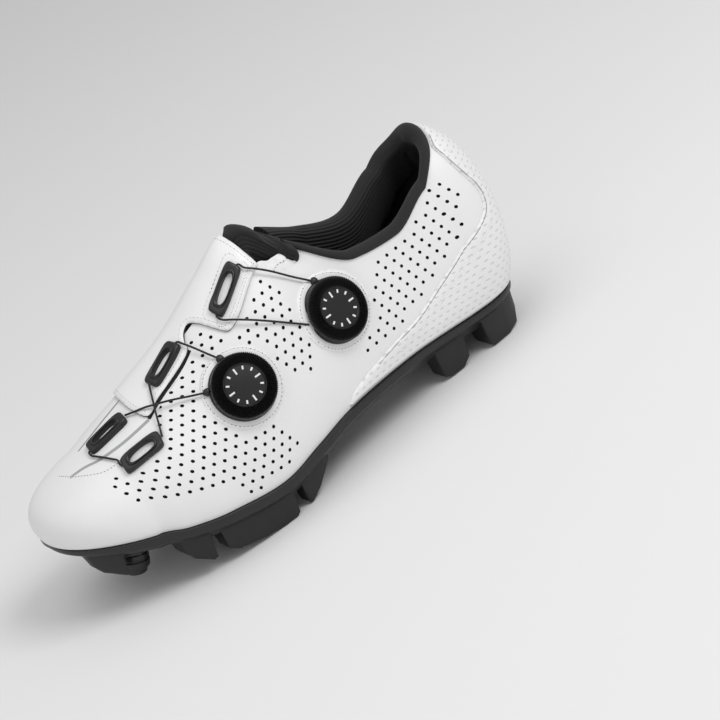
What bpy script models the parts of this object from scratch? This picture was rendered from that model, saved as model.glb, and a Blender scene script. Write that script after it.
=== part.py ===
"""Left mountain-bike shoe: hollow upper on a last, lugged sole, instep flap and two lace dials.

Metres, +Z up, +X towards the toe, +Y towards the outer side of the foot.
The model is drawn from the back of the heel seat and moved to its base centre at the end.
"""
import math

import bmesh
import bpy
import numpy as np
from mathutils import Matrix, Vector
from mathutils.bvhtree import BVHTree

for item in list(bpy.data.objects):
    bpy.data.objects.remove(item, do_unlink=True)

# Driving sizes of the last
LENGTH = 0.268          # seat outline where the upper meets the sole, heel to toe
BALL_WIDTH = 0.085      # the same outline across the ball of the foot
HEEL_HEIGHT = 0.110     # top of the collar above the ground, at the heel
INSTEP_HEIGHT = 0.120   # top of the throat above the ground
HEEL_STACK = 0.022      # seat above the ground, at the heel
TOE_LIFT = 0.040        # seat above the ground, at the toe
HEEL_ROUND = 0.029      # heel back to the centre of the round heel
TOE_ROUND = 0.035       # toe tip to the centre of the round toe
WALL = 0.0022           # upper
GAP = 0.0003            # between two pieces that meet
LAID = 0.0006           # between a curved piece and the curved skin that it lies on

# Upper openings and overlays
THROAT_WIDTH = 0.022    # slot under the flap, from the ridge line
FLAP_THICK = 0.0016
COUNTER_THICK = 0.0013
COUNTER_FOOT = 0.00088  # lower edge of the counter above the seat
TONGUE_THICK = 0.0026
TONGUE_CLEAR = 0.0009    # tongue below the wall of the upper
PAD_DEPTH = 0.027       # collar pad below the rim
PAD_THICK = 0.0062
ROLL_HEIGHT = 0.0046    # collar roll above the rim

# Sole
PLATE_THICK = 0.010
PLATE_EDGE = 0.0019     # plate stands out past the upper
PLATE_CHAMFER = 0.0025
INSOLE_THICK = 0.003
LUG_TAPER = 0.0016
STUD_RADIUS = 0.0088
STUD_HEIGHT = 0.0165
SLOT_LENGTH = 0.034
SLOT_WIDTH = 0.0085
SLOT_SPACING = 0.0140
SLOT_DEPTH = 0.0024
BOLT_RADIUS = 0.0036
BOLT_HEAD = 0.0030
BOLT_SPACING = 0.0115

# Lace hardware
DIAL_RADIUS = 0.0158
DIAL_HEIGHT = 0.0050
DIAL_BASE_RADIUS = 0.0170
DIAL_BASE_HEIGHT = 0.0018
DIAL_BASE_LEAST = 0.0005  # thinnest place of a base, over the highest skin under it
GUIDE_LENGTH = 0.0215
GUIDE_WIDTH = 0.0088
GUIDE_HEIGHT = 0.0030
GUIDE_WALL = 0.0026
LACE_RADIUS = 0.0007

# Sections of the last. "heel" and "toe" rows sit on the round ends (share of a quarter turn),
# "body" rows at a share of LENGTH. Widths, ridge and bulges are shares of BALL_WIDTH. Seat is a
# share of HEEL_STACK, or of TOE_LIFT once at the toe; tops are shares of HEEL_HEIGHT along the
# collar and of INSTEP_HEIGHT from the throat on. Low, spread and drop shape the curve of a rib,
# reach says how far it comes in to the ridge line. The last top sets how the ridge runs on.
COLUMNS = ("zone", "place", "lateral", "medial", "seat", "top_lateral", "top_medial", "ridge",
           "bulge_lateral", "bulge_medial", "low", "spread", "drop", "reach", "plate")
SECTIONS = (
    ("heel", 0.000, 0.365, 0.353, 1.00, 1.000, 1.000, 0.000, 0.165, 0.165, 0.28, 0.80, 0.15, 0.30, 1.10),
    ("heel", 0.500, 0.365, 0.353, 1.00, 0.936, 0.936, 0.000, 0.160, 0.160, 0.28, 0.60, 0.18, 0.28, 1.10),
    ("heel", 1.000, 0.365, 0.353, 1.02, 0.818, 0.836, 0.000, 0.094, 0.094, 0.30, 0.22, 0.28, 0.22, 1.10),
    ("body", 0.205, 0.365, 0.329, 1.09, 0.727, 0.736, 0.000, 0.070, 0.082, 0.30, 0.10, 0.30, 0.16, 1.00),
    ("body", 0.299, 0.388, 0.318, 1.18, 0.755, 0.818, 0.012, 0.070, 0.082, 0.35, 0.10, 0.30, 0.20, 0.85),
    ("body", 0.384, 0.418, 0.324, 1.20, 0.927, 0.964, 0.012, 0.070, 0.082, 0.40, 0.25, 0.25, 0.60, 0.80),
    ("body", 0.452, 0.447, 0.341, 1.18, 1.000, 1.000, 0.000, 0.070, 0.070, 0.45, 0.35, 0.05, 1.00, 0.80),
    ("body", 0.541, 0.494, 0.382, 1.05, 0.892, 0.892, -0.024, 0.059, 0.059, 0.45, 0.50, 0.00, 1.00, 0.85),
    ("body", 0.634, 0.529, 0.429, 0.91, 0.767, 0.767, -0.059, 0.035, 0.047, 0.48, 0.58, 0.00, 1.00, 0.95),
    ("body", 0.746, 0.518, 0.471, 0.60, 0.667, 0.667, -0.094, 0.024, 0.035, 0.50, 0.64, 0.00, 1.00, 0.90),
    ("body", 0.821, 0.459, 0.459, 0.70, 0.612, 0.612, -0.106, 0.024, 0.035, 0.52, 0.70, 0.00, 1.00, 0.80),
    ("toe", 0.000, 0.400, 0.418, 0.80, 0.579, 0.579, -0.106, 0.030, 0.035, 0.55, 0.70, 0.00, 1.00, 0.70),
    ("toe", 1.000, 0.400, 0.418, 1.00, 0.080, 0.080, -0.106, 0.070, 0.070, 0.60, 0.66, 0.00, 1.00, 0.55),
)
COLLAR_END = 0.45       # rows before this share of LENGTH take HEEL_HEIGHT
TOE_START = 0.70        # rows after it take TOE_LIFT

# Throat: share of LENGTH, then the cut each side of the ridge as a share of THROAT_WIDTH
THROAT = ((0.390, 0.00, 0.00), (0.410, 0.50, 0.10), (0.435, 0.93, 0.25), (0.455, 1.00, 0.35),
          (0.504, 0.82, 0.36), (0.578, 0.55, 0.34), (0.672, 0.36, 0.28), (0.728, 0.12, 0.10),
          (0.746, 0.00, 0.00))

# Flap outline: share of LENGTH, distance from the ridge (outer side +) as a share of BALL_WIDTH
FLAP = ((0.464, -0.270), (0.465, -0.10), (0.465, 0.000), (0.461, 0.130), (0.456, 0.262), (0.461, 0.278),
        (0.500, 0.320), (0.541, 0.354), (0.558, 0.360), (0.570, 0.345), (0.582, 0.270), (0.594, 0.160),
        (0.604, 0.112), (0.618, 0.122), (0.630, 0.168), (0.636, 0.212), (0.664, 0.235), (0.731, 0.262),
        (0.750, 0.290), (0.764, 0.270), (0.768, 0.150), (0.763, 0.020), (0.753, -0.110), (0.735, -0.230),
        (0.700, -0.300), (0.600, -0.330), (0.500, -0.300))

# Tongue outline in the same chart. The cleft at the ridge opens into the collar.
TONGUE = ((0.396, 0.006), (0.452, 0.006), (0.456, 0.000), (0.452, -0.006), (0.404, -0.006),
          (0.404, -0.200), (0.460, -0.260), (0.740, -0.200), (0.752, 0.000), (0.740, 0.200),
          (0.560, 0.300), (0.470, 0.345), (0.425, 0.320), (0.396, 0.150))

# Heel counter, half outline: distance round the seat from the heel back and height above the
# seat, as shares of LENGTH and HEEL_HEIGHT. The other half mirrors it. The foot is COUNTER_FOOT.
COUNTER = ((0.000, 0.735), (0.082, 0.725), (0.086, 0.660), (0.083, 0.560), (0.089, 0.470), (0.110, 0.395),
           (0.157, 0.340), (0.235, 0.240), (0.317, 0.150), (0.381, 0.118), (0.489, 0.060), (0.520, 0.000),
           (0.000, 0.000))

# Lugs: name, side, inset from the plate edge and width as shares of BALL_WIDTH, then rows of
# (share of LENGTH, height of the tread above the ground as a share of HEEL_STACK)
LUGS = (
    ("lug_heel_rear_outer", 1, 0.030, 0.20,
     ((0.022, 0.30), (0.045, 0.03), (0.075, 0.00), (0.118, 0.00), (0.130, 0.10))),
    ("lug_heel_front_outer", 1, 0.045, 0.17,
     ((0.165, 0.16), (0.190, 0.00), (0.222, 0.00), (0.242, 0.10))),
    ("lug_arch_outer", 1, 0.040, 0.15,
     ((0.525, 0.55), (0.570, 0.16), (0.597, 0.00), (0.610, 0.00))),
    ("lug_ball_outer", 1, 0.028, 0.16,
     ((0.626, 0.06), (0.640, 0.00), (0.665, 0.00), (0.710, 0.07), (0.760, 0.20), (0.780, 0.32))),
    ("lug_mid_outer", 1, 0.028, 0.19,
     ((0.792, 0.30), (0.806, 0.27), (0.832, 0.50), (0.845, 0.66))),
    ("lug_toe_outer", 1, 0.060, 0.20,
     ((0.926, 0.78), (0.938, 0.82), (0.962, 1.02), (0.976, 1.20))),
    ("lug_heel_rear_inner", -1, 0.030, 0.20,
     ((0.022, 0.30), (0.045, 0.03), (0.075, 0.00), (0.118, 0.00), (0.130, 0.10))),
    ("lug_heel_front_inner", -1, 0.045, 0.17,
     ((0.165, 0.16), (0.190, 0.00), (0.222, 0.00), (0.242, 0.10))),
    ("lug_arch_inner", -1, 0.040, 0.15,
     ((0.545, 0.55), (0.585, 0.16), (0.612, 0.00), (0.625, 0.00))),
    ("lug_ball_inner", -1, 0.028, 0.16,
     ((0.641, 0.06), (0.652, 0.00), (0.674, 0.00), (0.720, 0.08), (0.765, 0.22), (0.785, 0.34))),
    ("lug_mid_inner", -1, 0.028, 0.19,
     ((0.796, 0.32), (0.809, 0.29), (0.835, 0.52), (0.848, 0.68))),
    ("lug_toe_inner", -1, 0.060, 0.20,
     ((0.926, 0.78), (0.938, 0.82), (0.962, 1.02), (0.976, 1.20))),
)
STUD_PLACE = 0.887      # share of LENGTH
STUD_OFFSET = 0.0155    # from the middle line
CLEAT_PLACE = 0.672     # share of LENGTH, centre of the slots
CLEAT_MIDDLE = -0.001

# Dials: share of LENGTH, distance from the top line as a share of BALL_WIDTH
DIALS = (("rear", 0.386, 0.439), ("front", 0.610, 0.594))

# Guides: share of LENGTH, distance from the ridge as a share of BALL_WIDTH, turn in degrees, on flap
GUIDES = (("flap_rear", 0.526, 0.214, 13.0, True), ("flap_front", 0.678, 0.152, 12.0, True),
          ("toe_inner", 0.823, 0.128, -12.0, False), ("toe_outer", 0.811, 0.404, -14.0, False))

CROSSING = (0.741, 0.290)   # where the two front laces cross


def smooth(xs, ys, x):
    """Monotone cubic through the points."""
    h = np.diff(xs)
    d = np.diff(ys) / h
    m = np.zeros(len(xs))
    for i in range(1, len(xs) - 1):
        if d[i - 1] * d[i] > 0.0:
            a, b = 2.0 * h[i] + h[i - 1], h[i] + 2.0 * h[i - 1]
            m[i] = (a + b) / (a / d[i - 1] + b / d[i])
    x = np.clip(x, xs[0], xs[-1])
    i = np.clip(np.searchsorted(xs, x, side="right") - 1, 0, len(xs) - 2)
    s = (x - xs[i]) / h[i]
    return ((1 + 2 * s) * (1 - s) ** 2 * ys[i] + s * (1 - s) ** 2 * h[i] * m[i]
            + s * s * (3 - 2 * s) * ys[i + 1] + s * s * (s - 1) * h[i] * m[i + 1])


# Station q runs 0 to 1 round the heel, 1 to 2 along the body and 2 to 3 round the toe
BODY = LENGTH - TOE_ROUND - HEEL_ROUND


def station(x):
    return 1.0 + (x - HEEL_ROUND) / BODY


def table():
    rows = {name: [] for name in COLUMNS[1:]}
    for row in SECTIONS:
        r = dict(zip(COLUMNS, row))
        zone, place = r["zone"], r["place"]
        q = place if zone == "heel" else station(place * LENGTH) if zone == "body" else 2.0 + place
        far = zone == "toe" or (zone == "body" and place > COLLAR_END)
        toe = zone == "toe" or (zone == "body" and place > TOE_START)
        rows["place"].append(q)
        for name in ("lateral", "medial", "ridge", "bulge_lateral", "bulge_medial"):
            rows[name].append(r[name] * BALL_WIDTH)
        for name in ("top_lateral", "top_medial"):
            rows[name].append(r[name] * (INSTEP_HEIGHT if far else HEEL_HEIGHT))
        rows["seat"].append(r["seat"] * (TOE_LIFT if toe else HEEL_STACK))
        rows["plate"].append(r["plate"] * PLATE_THICK)
        for name in ("low", "spread", "drop", "reach"):
            rows[name].append(r[name])
    return {name: np.array(values) for name, values in rows.items()}


TABLE = table()
TOE_X = LENGTH - TOE_ROUND


def column(name, q):
    return smooth(TABLE["place"], TABLE[name], q)


RIDGE_FALL = float(column("top_lateral", 1.999) - column("top_lateral", 2.0)) / (0.001 * BODY)


def by_side(name, side, q):
    return np.where(side > 0, column(name + "lateral", q), column(name + "medial", q))


def seat_point(side, q):
    """Outline where the upper meets the sole."""
    side, q = np.broadcast_arrays(np.asarray(side, float), np.asarray(q, float))
    w = by_side("", side, q)
    heel = np.clip(q, 0, 1) * math.pi / 2
    toe = np.clip(q - 2, 0, 1) * math.pi / 2
    hx, hy = np.cos(heel) ** (2 / 2.25), np.sin(heel) ** (2 / 2.25)
    tx, ty = np.sin(toe) ** (2 / 2.2), np.maximum(np.cos(toe), 0.0) ** (2 / 2.2)
    middle = column("ridge", 2.0)
    along = np.where(q > 2, TOE_X + TOE_ROUND * tx, HEEL_ROUND + (q - 1) * BODY)
    x = np.where(q < 1, HEEL_ROUND * (1 - hx), along)
    drift = middle * np.where(side > 0, np.sin(toe), np.sin(toe) ** 2)
    y = np.where(q < 1, side * w * hy, np.where(q > 2, drift + side * w * ty, side * w))
    return np.stack([x, y, column("seat", q)], -1)


def rib(side, q, t):
    """Point of the last on the rib at q, from the seat (t = 0) to the rim or ridge (t = 1)."""
    side, q, t = np.broadcast_arrays(np.asarray(side, float), np.asarray(q, float), np.asarray(t, float))
    f = seat_point(side, q)
    end = np.minimum(q, 2.0)
    top = by_side("top_", side, end)
    cx = np.where(q < 1, HEEL_ROUND, np.where(q > 2, TOE_X, f[..., 0]))
    cy = np.where(q < 1, 0.0, column("ridge", end))
    flat = np.stack([cx - f[..., 0], cy - f[..., 1], np.zeros_like(cx)], -1)
    run = np.linalg.norm(flat, axis=-1)[..., None]
    out = -flat / run
    up = np.array([0.0, 0.0, 1.0])
    h = (top - f[..., 2])[..., None]
    fall = np.where(q > 2, RIDGE_FALL * flat[..., 0] / run[..., 0], 0.0)[..., None]
    p3 = f + flat * column("reach", q)[..., None] + up * h
    p1 = f + out * by_side("bulge_", side, q)[..., None] + up * h * column("low", q)[..., None]
    spread = run * column("spread", q)[..., None]
    p2 = p3 + out * spread - up * (column("drop", q)[..., None] * h - fall * spread)
    t = t[..., None]
    return (1 - t) ** 3 * f + 3 * (1 - t) ** 2 * t * p1 + 3 * (1 - t) * t * t * p2 + t ** 3 * p3


def skin(side, q, t, lift=0.0):
    """Last surface moved outwards by lift."""
    side, q, t = np.broadcast_arrays(np.asarray(side, float), np.asarray(q, float), np.asarray(t, float))
    tn = np.clip(t, 0.004, 0.992)
    qa, qb = np.clip(q - 0.004, 0, 3), np.clip(q + 0.004, 0, 3)
    du = rib(side, qb, tn) - rib(side, qa, tn)
    dv = rib(side, q, tn + 0.004) - rib(side, q, tn - 0.004)
    n = np.cross(du, dv) * -side[..., None]
    n[..., 1] = np.where((q < 0.001) | (q > 2.999), 0.0, n[..., 1])
    n = n / np.linalg.norm(n, axis=-1, keepdims=True)
    lift = np.broadcast_to(np.asarray(lift, float), t.shape)
    return rib(side, q, t) + n * lift[..., None], n


def share_at(side, q, distance, from_top):
    """Share t of the rib at a distance along it."""
    ts = np.linspace(0.0, 1.0, 49)
    pts = rib(side, q, ts)
    arc = np.concatenate([[0.0], np.cumsum(np.linalg.norm(np.diff(pts, axis=0), axis=1))])
    return float(np.interp(arc[-1] - distance if from_top else distance, arc, ts))


def on_ridge(x, w, lift):
    """Chart from the ridge: x along the shoe, w down the side, outer side positive."""
    side = 1.0 if w >= 0 else -1.0
    past = max(0.0, x - TOE_X)
    q = 2.0 + math.atan2(past, abs(w)) / (math.pi / 2) if past else station(x)
    return skin(side, q, share_at(side, q, math.hypot(past, w), True), lift)


def on_seat(s, h, lift):
    """Chart from the seat: s round the heel and along the body, h up the side."""
    side = 1.0 if s >= 0 else -1.0
    quarter = 0.5 * math.pi * 0.5 * (HEEL_ROUND + TABLE["lateral"][0])
    q = abs(s) / quarter if abs(s) < quarter else station(HEEL_ROUND + abs(s) - quarter)
    return skin(side, q, share_at(side, q, h, False), lift)


# Materials
FINISHES = {
    "white_upper": ((0.80, 0.80, 0.80), 0.45, 0.0), "white_flap": ((0.80, 0.80, 0.80), 0.42, 0.0),
    "white_counter": ((0.82, 0.82, 0.82), 0.40, 0.0), "black_pad": ((0.020, 0.020, 0.022), 0.85, 0.0),
    "black_knit": ((0.022, 0.022, 0.024), 0.80, 0.0), "black_insole": ((0.035, 0.035, 0.038), 0.90, 0.0),
    "black_plate": ((0.030, 0.030, 0.032), 0.42, 0.0), "black_rubber": ((0.018, 0.018, 0.019), 0.60, 0.0),
    "black_dial": ((0.020, 0.020, 0.021), 0.35, 0.0), "black_base": ((0.025, 0.025, 0.026), 0.40, 0.0),
    "black_guide": ((0.024, 0.024, 0.026), 0.45, 0.0), "dark_lace": ((0.060, 0.060, 0.065), 0.40, 0.2),
    "dark_stud": ((0.020, 0.020, 0.021), 0.40, 0.0), "steel_bolt": ((0.30, 0.30, 0.31), 0.35, 0.9),
}


def finish(name, node):
    mat = bpy.data.materials.new(node + "_" + name)
    mat.use_nodes = True
    color, rough, metal = FINISHES[name]
    bsdf = mat.node_tree.nodes["Principled BSDF"]
    bsdf.inputs["Base Color"].default_value = (*color, 1.0)
    bsdf.inputs["Roughness"].default_value = rough
    bsdf.inputs["Metallic"].default_value = metal
    return mat


def add(name, bm, look, angle=40.0):
    bmesh.ops.recalc_face_normals(bm, faces=bm.faces)
    mesh = bpy.data.meshes.new(name)
    bm.to_mesh(mesh)
    bm.free()
    mesh.shade_smooth()
    mesh.set_sharp_from_angle(angle=math.radians(angle))
    obj = bpy.data.objects.new(name, mesh)
    bpy.context.scene.collection.objects.link(obj)
    mesh.materials.append(finish(look, name))
    return obj


def slab(nu, nv, low, high):
    """Grid with thickness: low(u, v) and high(u, v) place its two layers."""
    bm = bmesh.new()
    bmesh.ops.create_grid(bm, x_segments=nu, y_segments=nv, size=0.5)
    made = bmesh.ops.extrude_face_region(bm, geom=bm.faces[:], use_keep_orig=True)
    upper = {v for v in made["geom"] if isinstance(v, bmesh.types.BMVert)}
    for v in bm.verts:
        u, w = v.co.x + 0.5, v.co.y + 0.5
        v.co = Vector((high if v in upper else low)(u, w))
    bmesh.ops.remove_doubles(bm, verts=bm.verts, dist=1e-5)
    folded = {face for edge in bm.edges if len(edge.link_faces) == 1 for face in edge.link_faces}
    bmesh.ops.delete(bm, geom=list(folded), context="FACES")
    bmesh.ops.dissolve_degenerate(bm, edges=bm.edges, dist=1e-6)
    return bm


def patch(outline, chart, low, high, step):
    """Flat outline cut into cells, laid on a chart and given thickness."""
    bm = bmesh.new()
    bm.faces.new([bm.verts.new((u, v, 0.0)) for u, v in outline])
    us, vs = [p[0] for p in outline], [p[1] for p in outline]
    for axis, lo, hi in ((0, min(us), max(us)), (1, min(vs), max(vs))):
        count = max(2, round((hi - lo) / step))
        normal = (1, 0, 0) if axis == 0 else (0, 1, 0)
        for i in range(1, count):
            at = lo + (hi - lo) * i / count
            if axis == 1 and lo < 0 < hi:
                at = lo * (1 - i / (count / 2)) if i <= count / 2 else hi * (i / (count / 2) - 1)
            bmesh.ops.bisect_plane(bm, geom=bm.verts[:] + bm.edges[:] + bm.faces[:], dist=1e-7,
                                   plane_co=[at * part for part in normal], plane_no=normal)
    bmesh.ops.triangulate(bm, faces=bm.faces)
    made = bmesh.ops.extrude_face_region(bm, geom=bm.faces[:], use_keep_orig=True)
    upper = {v for v in made["geom"] if isinstance(v, bmesh.types.BMVert)}
    for v in bm.verts:
        v.co = Vector(chart(v.co.x, v.co.y, high if v in upper else low)[0])
    return bm


# Upper: a shell round the whole last, open at the collar, the throat and the seat
THROAT_Q = [station(r[0] * LENGTH) for r in THROAT]
THROAT_CUT = {1: [r[1] * THROAT_WIDTH for r in THROAT], -1: [r[2] * THROAT_WIDTH for r in THROAT]}


def rib_end(side, q):
    if not THROAT_Q[0] < q < THROAT_Q[-1]:
        return 1.0
    return share_at(side, q, float(np.interp(q, THROAT_Q, THROAT_CUT[side])), True)


ROUNDS = [*np.linspace(0, 1, 10), *np.linspace(1, 2, 25)[1:], *np.linspace(2, 3, 10)[1:]]
LEVELS = 10


def build_upper():
    stations = [(1, q) for q in ROUNDS] + [(-1, q) for q in reversed(ROUNDS)]
    ends = [rib_end(side, q) for side, q in stations]
    bm = bmesh.new()
    layers = [bm.verts.layers.float.new(n) for n in ("side", "q", "t")]
    bmesh.ops.create_grid(bm, x_segments=len(stations) - 1, y_segments=LEVELS - 1, size=0.5)
    for v in bm.verts:
        side, q = stations[round((v.co.x + 0.5) * (len(stations) - 1))]
        t = ends[round((v.co.x + 0.5) * (len(stations) - 1))] * (v.co.y + 0.5)
        for layer, value in zip(layers, (side, q, t)):
            v[layer] = value
        v.co = Vector(rib(side, q, t))
    bmesh.ops.remove_doubles(bm, verts=bm.verts, dist=1e-5)
    bmesh.ops.dissolve_degenerate(bm, edges=bm.edges, dist=1e-6)
    made = bmesh.ops.extrude_face_region(bm, geom=bm.faces[:], use_keep_orig=True)
    inner = {v for v in made["geom"] if isinstance(v, bmesh.types.BMVert)}
    for v in inner:
        side, q, t = (v[layer] for layer in layers)
        p, n = skin(1.0 if side > 0 else -1.0, q, t, -WALL)
        v.co = Vector(p)
        if t < 0.001:
            v.co.z = float(column("seat", q))
    return add("upper", bm, "white_upper", 50.0)


# Collar pad: a closed profile carried along the rim, over the edge of the upper and down inside
def build_pad():
    inside = WALL + LAID
    profile = ((-GAP, 0.0004), (-0.55 * ROLL_HEIGHT, 0.0009), (-ROLL_HEIGHT, -0.0012),
               (-ROLL_HEIGHT, -0.0040), (-0.5 * ROLL_HEIGHT, -inside - 0.72 * PAD_THICK),
               (0.2 * PAD_DEPTH, -inside - PAD_THICK),
               (0.75 * PAD_DEPTH, -inside - 0.85 * PAD_THICK), (PAD_DEPTH, -inside - 0.2 * PAD_THICK),
               (0.85 * PAD_DEPTH, -inside), (0.4 * PAD_DEPTH, -inside), (0.04 * PAD_DEPTH, -inside - 0.0001),
               (-GAP, -inside))
    end = THROAT_Q[0] - 0.006
    half = [q for q in ROUNDS if q < end - 0.01] + [end]
    walk = [(1, q) for q in reversed(half)] + [(-1, q) for q in half[1:]]
    bm = bmesh.new()
    bmesh.ops.create_grid(bm, x_segments=len(walk) - 1, y_segments=len(profile), size=0.5)
    for v in bm.verts:
        side, q = walk[round((v.co.x + 0.5) * (len(walk) - 1))]
        w, depth = profile[round((v.co.y + 0.5) * len(profile)) % len(profile)]
        if w > 0:
            v.co = Vector(skin(side, q, share_at(side, q, w, True), depth)[0])
        else:
            rim, normal = skin(side, q, 1.0, 0.0)
            rise = rim - rib(side, q, 0.97)
            v.co = Vector(rim + normal * depth - rise / np.linalg.norm(rise) * w)
    bmesh.ops.remove_doubles(bm, verts=bm.verts, dist=1e-5)
    bmesh.ops.holes_fill(bm, edges=bm.edges, sides=len(profile) + 2)
    return add("collar_pad", bm, "black_pad", 60.0)


# Sole plate and what lies on and under it
OUTLINE_Q = np.concatenate([np.linspace(0, 1, 40), np.linspace(1, 2, 120)[1:], np.linspace(2, 3, 40)[1:]])


def edge_y(side, x):
    """Plate edge at x, with the plate standing out past the seat outline."""
    pts = seat_point(side, OUTLINE_Q)
    return float(np.interp(x, pts[:, 0], pts[:, 1] + side * PLATE_EDGE))


def plate_floor(x, y):
    """Underside of the plate, with its chamfered edge."""
    pts = seat_point(1, OUTLINE_Q)
    base = float(np.interp(x, pts[:, 0], column("seat", OUTLINE_Q) - GAP - column("plate", OUTLINE_Q)))
    near = min(edge_y(1, x) - y, y - edge_y(-1, x))
    return base + PLATE_CHAMFER * min(1.0, max(0.0, 1.0 - (near - 0.4 * PLATE_CHAMFER) / PLATE_CHAMFER))


def across(q, v, grow):
    """Point between the two edges at one station, with the edge moved out by grow."""
    pair = []
    for side in (1, -1):
        f = seat_point(side, q)
        cx = HEEL_ROUND if q < 1 else TOE_X if q > 2 else f[0]
        cy = 0.0 if q < 1 else float(column("ridge", min(q, 2.0)))
        away = np.array([f[0] - cx, f[1] - cy if q < 1 or q > 2 else side, 0.0])
        pair.append(f + away / np.linalg.norm(away) * grow)
    return pair[0] * (1 - v) + pair[1] * v


PLATE_Q = [*np.linspace(0, 1, 9), *np.linspace(1, 2, 25)[1:], *np.linspace(2, 3, 9)[1:]]
PLATE_V = (0.0, 0.0, 0.25, 0.5, 0.75, 1.0, 1.0)


def slot_frame(y):
    """Frame on the floor of a cleat slot, at its middle, sloping with the plate."""
    x = CLEAT_PLACE * LENGTH
    tilt = math.atan2(plate_floor(x - 0.01, y) - plate_floor(x + 0.01, y), 0.02)
    return Matrix.Translation((x, y, plate_floor(x, y) + SLOT_DEPTH)) @ Matrix.Rotation(tilt, 4, "Y")


def build_plate():
    nu, nv = len(PLATE_Q) - 1, len(PLATE_V) - 1

    def high(u, w):
        return across(PLATE_Q[round(u * nu)], round(w * nv) / nv, PLATE_EDGE) - np.array([0, 0, GAP])

    def low(u, w):
        q, k = PLATE_Q[round(u * nu)], round(w * nv)
        rim = k in (0, nv)
        p = across(q, PLATE_V[k], PLATE_EDGE - (0.4 if rim else 1.4) * PLATE_CHAMFER)
        rise = PLATE_CHAMFER if rim else 0.0
        p[2] += rise - GAP - float(column("plate", q))
        return p

    plate = add("sole_plate", slab(nu, nv, low, high), "black_plate", 35.0)
    for side in (1, -1):
        y = CLEAT_MIDDLE + side * SLOT_SPACING / 2
        bm = bmesh.new()
        half = SLOT_WIDTH / 2
        bmesh.ops.create_cone(bm, cap_ends=True, segments=16, radius1=half, radius2=half, depth=0.02)
        for v in bm.verts:
            v.co.x += math.copysign((SLOT_LENGTH - SLOT_WIDTH) / 2, v.co.x)
        bmesh.ops.transform(bm, matrix=slot_frame(y) @ Matrix.Translation((0, 0, -0.01)), verts=bm.verts)
        cutter = add("slot_cutter_%s" % ("outer" if side > 0 else "inner"), bm, "black_plate")
        cutter.hide_render = True
        cutter.display_type = "WIRE"
        cut = plate.modifiers.new("slot", "BOOLEAN")
        cut.operation = "DIFFERENCE"
        cut.solver = "EXACT"
        cut.object = cutter
    return plate


def build_insole():
    qs = [*np.linspace(0.06, 1, 8), *np.linspace(1, 2, 21)[1:], *np.linspace(2, 2.95, 8)[1:]]
    nu, nv = len(qs) - 1, 2

    def layer(rise):
        def at(u, w):
            p = across(qs[round(u * nu)], w, -WALL - 2 * GAP)
            return p + np.array([0, 0, rise])
        return at

    return add("insole", slab(nu, nv, layer(GAP), layer(GAP + INSOLE_THICK)), "black_insole", 35.0)


def build_lug(name, side, inset, width, rows):
    xs = [r[0] * LENGTH for r in rows]
    zs = [r[1] * HEEL_STACK for r in rows]
    nu, nv = len(rows) - 1, 2

    def place(u, w, foot):
        i = round(u * nu)
        x = xs[i] + (LUG_TAPER if i == 0 else -LUG_TAPER if i == nu else 0.0) * foot
        near, far = inset * BALL_WIDTH + LUG_TAPER * foot, (inset + width) * BALL_WIDTH - LUG_TAPER * foot
        middle = max(near + 2 * GAP, 1.4 * PLATE_CHAMFER)
        y = edge_y(side, x) - side * (near, middle, far)[round(w * nv)]
        return x, y, zs[i] if foot else plate_floor(x, y) - LAID

    block = slab(nu, nv, lambda u, w: place(u, w, 1), lambda u, w: place(u, w, 0))
    return add(name, block, "black_rubber", 30.0)


def lathe(profile, count):
    """Turned solid from (radius, height) points, about Z."""
    bm = bmesh.new()
    line = [bm.verts.new((r, 0, z)) for r, z in profile]
    edges = [bm.edges.new(pair) for pair in zip(line, line[1:])]
    bmesh.ops.spin(bm, geom=line + edges, cent=(0, 0, 0), axis=(0, 0, 1), angle=2 * math.pi, steps=count,
                   use_merge=True)
    bmesh.ops.remove_doubles(bm, verts=bm.verts, dist=1e-6)
    bmesh.ops.holes_fill(bm, edges=bm.edges, sides=count + 1)
    return bm


def frame_on(point, normal):
    return Matrix.Translation(Vector(point)) @ Vector(normal).to_track_quat("Z", "X").to_matrix().to_4x4()


def build_stud(name, side):
    x, y = STUD_PLACE * LENGTH, float(column("ridge", 2.0)) * 0.6 + side * STUD_OFFSET
    floor = plate_floor(x, y)
    lean = math.atan2(plate_floor(x + 0.004, y) - plate_floor(x - 0.004, y), 0.008)
    r, h = STUD_RADIUS, STUD_HEIGHT
    bm = lathe(((r, -2 * GAP), (0.96 * r, -0.36 * h), (0.78 * r, -0.40 * h), (0.74 * r, -0.86 * h),
                (0.52 * r, -h)), 12)
    place = Matrix.Translation((x, y, floor)) @ Matrix.Rotation(-lean, 4, "Y")
    bmesh.ops.transform(bm, matrix=place, verts=bm.verts)
    return add(name, bm, "dark_stud", 35.0)


def build_bolt(name, along, side):
    r, h = BOLT_RADIUS, BOLT_HEAD
    bm = lathe(((r, -GAP), (r, -0.75 * h), (0.85 * r, -h), (0.45 * r, -h), (0.45 * r, -0.45 * h)), 12)
    place = slot_frame(CLEAT_MIDDLE + side * SLOT_SPACING / 2)
    place = place @ Matrix.Translation((along * BOLT_SPACING / 2, 0, 0))
    bmesh.ops.transform(bm, matrix=place, verts=bm.verts)
    return add(name, bm, "steel_bolt", 35.0)


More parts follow.
